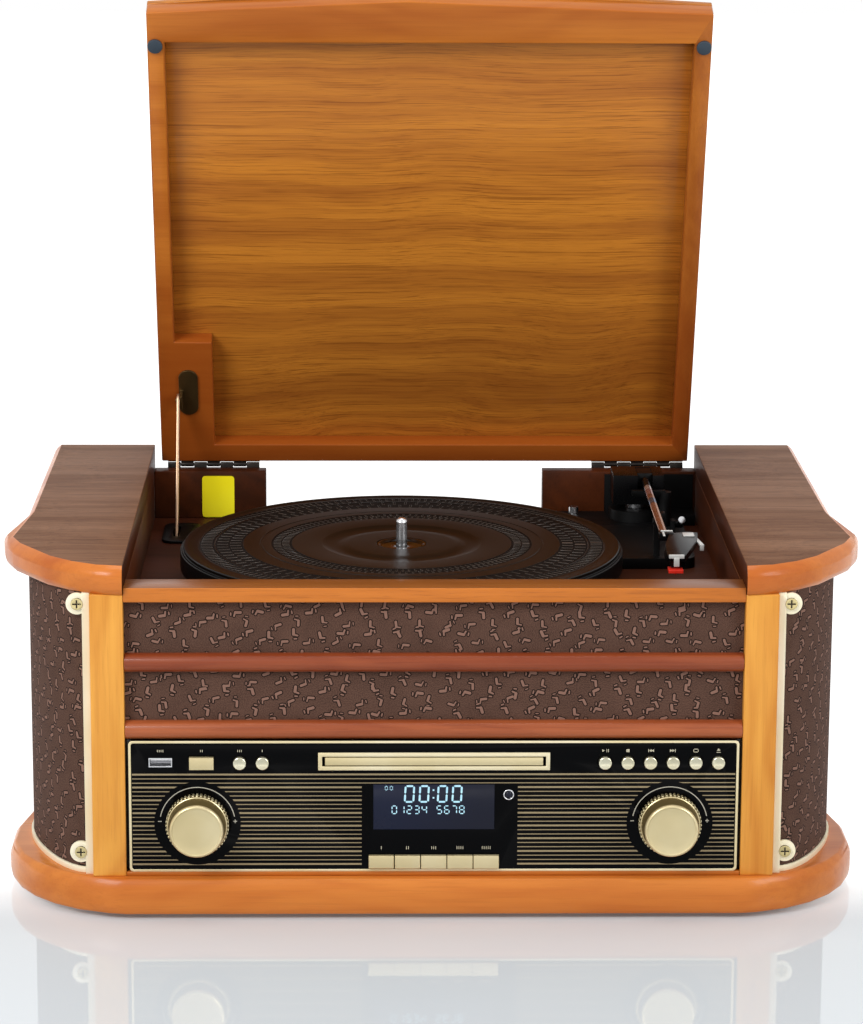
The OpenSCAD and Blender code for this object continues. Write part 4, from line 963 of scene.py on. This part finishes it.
def makeMarks(v):
    wedge = wedgeMaster()
    bar = segmentMaster(0.8, 0.3)
    made = []

    def tri(x, dx, turn=0.0, dz=0.0, tall=1.0):
        place = ((x + dx) * mm, v["y"] * mm, (v["z"] + dz) * mm)
        made.append(placedCopy(wedge, place, turn, (v["size"], 1, v["size"] * tall)))

    def stroke(x, dx, dz=0.0, length=2.0, turn=math.radians(90), z=None):
        place = ((x + dx) * mm, v["y"] * mm, ((z or v["z"]) + dz) * mm)
        made.append(placedCopy(bar, place, turn, (length, 1, 1.3)))

    xs = [v["first"] + i * v["pitch"] for i in range(6)]
    tri(xs[0], -1.3)
    stroke(xs[0], 0.9)
    stroke(xs[0], 1.9)
    for dz in (-0.7, -0.35, 0.0, 0.35, 0.7):
        stroke(xs[1], 0.0, dz, 2.0, 0.0)
    tri(xs[2], 0.1, math.pi)
    tri(xs[2], 1.5, math.pi)
    stroke(xs[2], -1.2)
    tri(xs[3], -1.5)
    tri(xs[3], -0.1)
    stroke(xs[3], 1.2)
    for side in (1, -1):
        stroke(xs[4], 0, side * 0.9, 2.6, 0)
        stroke(xs[4], side * 1.35, 0, 1.5)
    tri(xs[5], 0.0, -math.pi / 2, 0.4, 1.3)
    stroke(xs[5], 0.0, -1.1, 2.6, 0.0)
    for x, count in v["dashes"]:
        for i in range(count):
            stroke(x, (i - (count - 1) / 2) * 1.1, 0.0, 1.5)
    for i in range(5):
        for j in range(i + 1):
            stroke((i - 2) * v["keyPitch"], (j - i / 2) * 1.2, 0.0, 2.0, math.radians(90), v["keyZ"])
    marks = joinPieces(made)
    finishPiece(marks, "panelMarks", "cabinet", printInk)
    bpy.data.objects.remove(wedge)
    bpy.data.objects.remove(bar)


sensorValues = {"x": 44.9, "z": 75.9, "y": -179.5, "ring": 2.9, "wire": 0.42,
                "dome": [(0, 0.9), (0.8, 0.82), (1.5, 0.55), (2.0, 0.1), (2.1, -0.05), (0, -0.05)]}


def makeSensor(v):
    at = [v[k] * mm for k in "xyz"]
    bpy.ops.object.select_all(action="DESELECT")
    bpy.ops.mesh.primitive_torus_add(
        major_radius=v["ring"] * mm, minor_radius=v["wire"] * mm, major_segments=64, minor_segments=16,
        location=at, rotation=(math.radians(90), 0, 0)
    )
    ring = bpy.context.active_object
    applyPlace(ring)
    pickFaces(ring, lambda c, n: (c.x - at[0]) * 0.55 + (c.z - at[2]) * 0.83 > 2.1 * mm)
    bpy.ops.transform.resize(value=(0.97, 0.35, 0.97), center_override=at)
    objectMode()
    finishPiece(ring, "sensorRing", "cabinet", steelMetal)
    dome = turned(inMetres(v["dome"]), (at[0], (v["y"] + 0.08) * mm, at[2]), 48, "-Y")
    finishPiece(dome, "sensorDome", "cabinet", displayGlass)


makeFigures(figureValues)
makeMarks(markValues)
makeSensor(sensorValues)
print("display figures and marks made")

# knobs, buttons and keys
knobValues = {
    "x": 142.0, "z": 58.1, "y": -179.8, "skirtR": 19.0, "skirtH": 5.0, "teeth": 48,
    "capR": 16.15, "toothR": 18.35, "stem": [(0.0, -8.0), (3.0, -8.0), (3.0, 0.0)],
    "profile": [
        (17.4, 0.0), (18.1, 0.3), (18.3, 4.2), (18.0, 5.0), (17.5, 5.4), (17.0, 9.0), (16.5, 13.5),
        (16.3, 15.2), (16.0, 16.2), (15.5, 16.8), (15.0, 17.0), (14.6, 16.9), (14.3, 16.55),
        (13.9, 16.45), (9.0, 16.4), (4.0, 16.4), (0.0, 16.4),
    ],
}


def makeKnob(v, x, node, name, body):
    at = (x * mm, v["y"] * mm, v["z"] * mm)
    stem = turned(inMetres(v["stem"] + v["profile"]), at, 160, "-Y")
    # one tooth is shaped, then spun in copies round the skirt
    place = (at[0], at[1] - v["skirtH"] / 2 * mm, at[2] + (v["skirtR"] - 0.75) * mm)
    tooth = addBox(place, (1.25 * mm, v["skirtH"] * mm, 1.4 * mm))
    editAll()
    bpy.ops.mesh.bevel(offset=0.34 * mm, segments=3)
    bpy.ops.mesh.spin(steps=v["teeth"], angle=2 * math.pi, center=at, axis=(0, 1, 0), dupli=True)
    bpy.ops.mesh.select_all(action="SELECT")
    bpy.ops.mesh.remove_doubles(threshold=1e-7)
    objectMode()
    looks = [champagne, knobSideShade, toothHighlight]
    knob = finishPiece(joinPieces([stem, tooth]), name, body, looks, 30)

    def reach(c):
        return math.hypot(c.x - at[0], c.z - at[2]) / mm

    # the cap's side wall is painted darker gold: painted shade and a painted reflection of the dark panel
    paintFaces(knob, 1, lambda c, n: reach(c) > v["capR"] and abs(n.y) < 0.6)
    # the points of the knurl are painted paler: painted highlight where light catches them
    paintFaces(knob, 2, lambda c, n: reach(c) > v["toothR"])
    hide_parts(node)


def makeRoundButton(v):
    # a dished cap with a soft rim
    r = v["r"]
    outline = [
        (0.0, -7.5), (r - 0.5, -7.5), (r - 0.15, -7.5), (r, -7.2), (r, -0.55), (r - 0.12, -0.2),
        (r - 0.4, 0.0), (r - 0.75, -0.05), (r - 1.2, -0.22), (1.2, -0.5), (0.0, -0.56),
    ]
    return turned(inMetres(outline), (0, v["y"] * mm, v["z"] * mm), 64, "-Y")


buttonValues = {
    "r": 3.9, "y": -182.0, "z": 96.0, "backX": -116.5, "recordX": -102.9, "discX": 102.6, "pitch": 13.6
}


def makeButtons(v):
    master = makeRoundButton(v)
    rows = [("function", v["backX"]), ("record", v["recordX"])]
    words = ("play", "stop", "back", "forward", "mode", "open")
    rows += [(word, v["discX"] + i * v["pitch"]) for i, word in enumerate(words)]
    for word, x in rows:
        obj = placedCopy(master, (x * mm, 0, 0))
        finishPiece(obj, word + "Cap", word + "_push", capMetal, 30)
        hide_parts(word + "_button")
    bpy.data.objects.remove(master)
    for word in ("menu", "info", "scan", "preset", "tone"):
        roundedCopy(word + "_key", word + "Bar", word + "_push", champagne, 0.7 * mm, 4, 3, 40)
    roundedCopy("power_button", "powerBar", "power_push", champagne, 0.5 * mm, 4, 3, 40)


# a darker gold painted as shade and dark reflection on the knobs' side walls
knobSideShade = plainMaterial("knob side painted shade", "8E7A4A", "7C6A40", 0.3, 0.42, metallic=0.7)
# paler gold painted as highlight on the knurl's points
toothHighlight = plainMaterial("knurl points painted highlight", "F0E4BC", "E2D4A6", 0.2, 0.3, metallic=0.4)
capMetal = plainMaterial("bright cap", "DAD6BE", "CFC8AA", 0.18, 0.3, metallic=0.8)
makeKnob(knobValues, -knobValues["x"], "volume_knob", "volumeKnob", "volume")
makeKnob(knobValues, knobValues["x"], "tuner_knob", "tunerKnob", "tuner")
makeButtons(buttonValues)
print("knobs and buttons made")

# speaker trims
trimCream = plainMaterial("cream trim", "FBF2D6", "F3E7C2", 0.3, 0.42, metallic=0.1)
screwGold = plainMaterial("screw head", "D2C28E", "C0AE78", 0.2, 0.32, metallic=0.7)
# a dark brown painted as shade round and in the screw heads
screwShade = plainMaterial("screw rim painted shade", "2E2618", "3A301E", 0.4, 0.55, metallic=0.4)
trimValues = {"lobeX": 212.6, "lobeZ": (38.6, 192.9), "screwR": 3.7, "lobeY": -174.05, "headY": -175.2}


def makeTrims(v):
    looks = [trimCream, screwGold, screwShade]
    trim = roundedCopy("speaker_trims", "speakerTrims", "cabinet", looks, 0.25 * mm, 3, 3, 40)

    def onScrew(c, n):
        r = min(math.hypot(abs(c.x) / mm - v["lobeX"], c.z / mm - z) for z in v["lobeZ"])
        return r < v["screwR"] and c.y < v["lobeY"] * mm

    # the sides and cross recess of each screw head are painted dark: painted shade
    paintFaces(trim, 2, onScrew)
    paintFaces(trim, 1, lambda c, n: onScrew(c, n) and c.y < v["headY"] * mm)


makeTrims(trimValues)
print("trims made")

# turntable
matValues = {
    "x": -18.0, "y": -13.0, "base": 190.0, "steps": 192,
    "profile": [
        (16.0, 0.0), (16.0, 1.5), (16.3, 1.7), (33.0, 1.72), (36.7, 1.55), (39.0, 0.95), (41.5, 0.85),
        (45.0, 0.9), (48.5, 1.35), (50.6, 1.92), (51.2, 2.0), (70.0, 2.0), (70.4, 1.7), (82.6, 1.7),
        (83.0, 1.98), (83.4, 2.0), (88.9, 2.0), (89.1, 1.72), (90.2, 1.72), (90.4, 2.0), (101.0, 2.0),
        (101.3, 1.7), (118.6, 1.7), (118.9, 2.0), (119.4, 2.0), (119.6, 1.7), (128.6, 1.7),
        (128.9, 2.0), (129.4, 1.98), (129.6, 1.8), (134.8, 1.8), (135.2, 2.0), (138.4, 2.0),
        (139.0, 1.6), (139.0, 0.0),
    ],
    "grooves": ((70.1, 82.8), (101.1, 118.7), (119.5, 128.7)),
    # rows of raised ticks: inner radius, length, width, how many, turn
    "ticks": [
        (71.6, 4.6, 1.1, 120, 0.0), (77.0, 4.6, 1.1, 120, 1.5), (102.4, 6.8, 1.5, 96, 0.0),
        (110.6, 6.8, 1.5, 96, 1.9), (120.6, 7.2, 1.25, 180, 0.0),
    ],
}


def makeMat(v):
    centre = (v["x"] * mm, v["y"] * mm, v["base"] * mm)
    base = turned(inMetres(v["profile"]), centre, v["steps"])
    rubbers = [matRubber, tickHighlightRubber, grooveShadeRubber]
    for material in rubbers:
        base.data.materials.append(material)

    def inShadedGroove(c, n):
        r = math.hypot(c.x - centre[0], c.y - centre[1]) / mm
        return n.z > 0.5 and any(a < r < b for a, b in v["grooves"])

    # the floors of the sunk rings are painted near black: painted shade
    paintFaces(base, 2, inShadedGroove)
    rows = [base]
    for inner, length, width, count, start in v["ticks"]:
        place = (centre[0] + (inner + length / 2) * mm, centre[1], centre[2] + 1.72 * mm)
        tick = addBox(place, (length * mm, width * mm, 0.5 * mm))
        editAll()
        bpy.ops.mesh.bevel(offset=0.16 * mm, segments=2)
        bpy.ops.transform.rotate(value=math.radians(start), orient_axis="Z", center_override=centre)
        bpy.ops.mesh.spin(steps=count, angle=2 * math.pi, center=centre, axis=(0, 0, 1), dupli=True)
        bpy.ops.mesh.select_all(action="SELECT")
        bpy.ops.mesh.remove_doubles(threshold=1e-7)
        objectMode()
        for material in rubbers:
            tick.data.materials.append(material)
        # every tick face takes the paler rubber: painted highlight on the raised ticks
        for f in tick.data.polygons:
            f.material_index = 1
        rows.append(tick)
    mat = joinPieces(rows)
    marks = [f.material_index for f in mat.data.polygons]
    finishPiece(mat, "platterMat", "turntable", rubbers, 30)
    for f, i in zip(mat.data.polygons, marks):
        f.material_index = i
    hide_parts("platter_mat")


spindleValues = {
    "profile": [
        (0.0, 165.0), (3.2, 165.0), (3.2, 190.4), (3.5, 190.7), (3.5, 205.6), (3.42, 206.1),
        (2.9, 207.2), (2.2, 208.0), (1.4, 208.4), (0.0, 208.5),
    ],
    "hub": [
        (3.9, 190.0), (3.9, 190.5), (4.4, 190.7), (11.4, 190.25), (12.6, 190.3), (13.4, 191.0),
        (14.4, 191.55), (15.4, 191.5), (15.9, 191.0), (15.9, 190.0),
    ],
}


def makePlatter(v):
    roundedCopy("platter", "platterDisc", "turntable", blackPlastic, 0.45 * mm, 3, 1, 40)
    axle = (matValues["x"] * mm, matValues["y"] * mm, 0)
    spindle = turned(inMetres(v["profile"]), axle, 64)
    finishPiece(spindle, "spindlePin", "turntable", steelMetal, 30)
    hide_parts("spindle")
    hub = turned(inMetres(v["hub"]), axle, 96)
    finishPiece(hub, "hubRing", "turntable", glossBlack, 30)


matRubber = plainMaterial(
    "platter mat rubber", "0A0807", "100D0B", 0.3, 0.42, grain=1500.0, bump=0.04, specular=0.12
)
# paler rubber painted as highlight on the raised ticks
tickHighlightRubber = plainMaterial(
    "raised ticks", "443C36", "5A5048", 0.24, 0.36, grain=1500.0, bump=0.02, specular=0.4
)
# near-black rubber painted as shade on the groove floors
grooveShadeRubber = plainMaterial(
    "groove floor painted shade", "040303", "080605", 0.6, 0.75, grain=1500.0, bump=0.04, specular=0.1
)
makeMat(matValues)
makePlatter(spindleValues)
print("turntable made")


chassisValues = {"screwX": 101, "screwY": 144.5, "screwR": 3.7, "screwLow": 176.2}


def makeChassis(v):
    chassis = roundedCopy(
        "turntable_chassis", "chassisPlate", "cabinet", [blackPlastic, steelMetal],
        0.5 * mm, 3, 3, 40
    )

    def onScrew(c, n):
        r = math.hypot(c.x / mm - v["screwX"], c.y / mm - v["screwY"])
        return r < v["screwR"] and c.z > v["screwLow"] * mm

    paintFaces(chassis, 1, onScrew)
    roundedCopy("stay_catch", "stayCatch", "cabinet", blackPlastic, 0.4 * mm, 2)
    dress("bearing_bush", brassMetal)
    dress("turntable_motor", motorGrey)
    dress("drive_belt", rubberBlack)
    dress("motor_pulley", brassMetal)


armValues = {
    "ringX": 143, "ringY": 131, "ringR": 8.0, "ringTop": 187.2, "tubeBack": 118,
    "liftX": 166.6, "liftTop": 204, "leverTip": 68,
}


# from, to and edge softness of each band along Y, in mm, and its colour
tubeBands = [
    (46.0, 60.0, 0.4, "6C7484"), (72.0, 88.0, 0.4, "B08C88"),
    (88.0, 90.5, 0.2, "D8D8DA"), (92.0, 94.5, 0.2, "D8D8DA"), (96.0, 97.5, 0.2, "D8D8DA"),
]


def tubeMaterial():
    # the tube's bands from its collar to the head, told by their place along Y
    m, tree, shader = newMaterial("banded arm tube", metallic=0.85)
    place = ownPlace(tree)
    y = times(tree, splitVector(tree, place)[1], 1000.0)
    tone = blendColours(tree, noiseOf(tree, place, 60.0), hexColour("8C6450"), hexColour("B48870"))
    for low, high, soft, colour in tubeBands:
        tone = blendColours(tree, between(tree, y, low, high, soft), tone, hexColour(colour))
    tone = blendColours(tree, spread(tree, y, 97.5, 98.5), tone, hexColour("1A1A1C"))
    tree.links.new(tone, shader.inputs["Base Color"])
    setSocket(
        tree, shader.inputs["Roughness"], spread(tree, noiseOf(tree, place, 300.0), 0.3, 0.7, 0.2, 0.34)
    )
    return m


headValues = {
    # the pale pad, the bracket's bar and stem and the clip on the head: middle and size of each
    "blocks": [((162.0, -47.0, 205.3), (7.0, 8.5, 0.9)), ((150.0, -101.9, 204.3), (9.5, 1.6, 2.4)),
               ((150.0, -102.4, 200.9), (3.4, 1.4, 5.6)), ((149.0, -38.6, 205.7), (7.5, 1.5, 0.9)),
               ((146.6, -45.0, 205.2), (1.4, 10.0, 0.8))],
}


def makeHeadBits(v):
    parts = []
    for centre, size in v["blocks"]:
        block = addBox(*inMetres((centre, size)))
        bevelEdges(block, 0.25 * mm, 3)
        parts.append(block)
    finishPiece(joinPieces(parts), "headBits", "arm", palePad)


def makeArm(v):
    tube = roundedCopy(
        "tonearm_tube", "armTube", "arm", [tubeMetal, blackPlastic], 0.3 * mm, 2, 2, 40
    )
    paintFaces(tube, 1, lambda c, n: c.y > v["tubeBack"] * mm)
    housing = roundedCopy(
        "tonearm_housing", "armHousing", "arm_carrier", [glossyHousing, steelMetal],
        0.9 * mm, 4, 3, 40
    )

    def onRing(c, n):
        r = math.hypot(c.x / mm - v["ringX"], c.y / mm - v["ringY"])
        return abs(r - v["ringR"]) < 1 and c.z < v["ringTop"] * mm

    paintFaces(housing, 1, onRing)
    head = roundedCopy(
        "headshell", "headShell", "arm", [glossyHousing, palePad], 0.9 * mm, 3, 3, 40
    )
    paintFaces(head, 1, lambda c, n: c.x > v["liftX"] * mm and c.z < v["liftTop"] * mm)
    makeHeadBits(headValues)
    roundedCopy("stylus", "stylusTip", "arm", redPlastic, 0.4 * mm, 3)
    lever = roundedCopy(
        "cue_lever", "cueLever", "lever", [blackPlastic, steelMetal], 0.2 * mm, 2, 3, 50
    )
    paintFaces(lever, 1, lambda c, n: c.y < v["leverTip"] * mm)


glossyHousing = plainMaterial(
    "satin black moulding", "050506", "0B0B0C", 0.22, 0.34, grain=1200.0, bump=0.03, specular=0.15
)
tubeMetal = tubeMaterial()
palePad = plainMaterial("pale grey pad", "C4C4C0", "D6D6D2", 0.3, 0.45, metallic=0.2)
makeChassis(chassisValues)
makeArm(armValues)
print("tonearm made")

# lid
lidValues = {
    "base": (0, 171.4, 203.5), "along": (0, 0.3551, 0.9348),  # hinge line and direction of the open lid
    "edge": 0.9, "stileX": 169.5, "stileLow": 20, "stileHigh": 314,
}


def makeLid(v):
    edge = v["edge"] * mm
    lidFrame = roundedCopy(
        "lid_frame", "lidFrame", "lid", [frameWood, stileWood, shadedWellWood], edge, 3, 3, 40
    )
    along = Vector(v["along"])
    base = Vector(v["base"]) * mm

    def isStile(c, n):
        up = (c - base).dot(along) / mm
        return abs(c.x) > v["stileX"] * mm and v["stileLow"] < up < v["stileHigh"]

    paintFaces(lidFrame, 1, isStile)
    roundedCopy("lid_panel", "lidPanel", "lid", lidWood, 0.6 * mm, 2, 3, 40)
    roundedCopy("lid_bumpers", "lidBumpers", "lid", bumperRubber, 0.4 * mm, 3, 3, 40)
    roundedCopy("stay_bracket", "stayBracket", "lid", darkMetal, 0.3 * mm, 3, 3, 40)
    roundedCopy("lid_stay", "lidStay", "stay", stayMetal, 0.3 * mm, 2, 3, 40)
    roundedCopy("hinge_lower", "hingeLower", "cabinet", hingeMetal, 0.15 * mm, 2, 3, 40)
    roundedCopy("hinge_upper", "hingeUpper", "lid", hingeMetal, 0.15 * mm, 2, 3, 40)


stayMetal = plainMaterial("stay strip", "B59274", "C8A88A", 0.3, 0.42, metallic=0.8)
hingeMetal = plainMaterial("dark hinge", "1E1A18", "2A2420", 0.3, 0.45, metallic=0.7)
makeLid(lidValues)
print("lid made")

# label on the left hinge post and the inner parts
labelValues = {
    "left": -152.4, "right": -130.5, "low": 169.8, "high": 198.5, "y": 156.35, "thick": 0.2, "corner": 2.2
}


def makeLabel(v):
    middle = ((v["left"] + v["right"]) / 2 * mm, v["y"] * mm, (v["low"] + v["high"]) / 2 * mm)
    label = addBox(middle, ((v["right"] - v["left"]) * mm, v["thick"] * mm, (v["high"] - v["low"]) * mm))
    m = label.modifiers.new("corners", "BEVEL")
    m.width = v["corner"] * mm
    m.segments = 5
    m.limit_method = "WEIGHT"
    weights = label.data.attributes.new("bevel_weight_edge", "FLOAT", "EDGE")
    for e in label.data.edges:
        a, b = (label.data.vertices[i].co for i in e.vertices)
        weights.data[e.index].value = 1.0 if abs(a.y - b.y) > 0.1 * mm else 0.0
    finishPiece(label, "yellowLabel", "cabinet", stickerYellow)


def makeInner():
    dress("control_board", boardGreen)
    dress("main_board", boardGreen)
    dress("cd_mechanism", blackPlastic)
    dress("transformer", motorGrey)
    dress("speakers", blackPlastic)
    roundedCopy("rear_panel", "rearPanel", "cabinet", blackPlastic, 0.3 * mm, 2, 3, 40)


makeLabel(labelValues)
makeInner()
print("inner parts dressed")
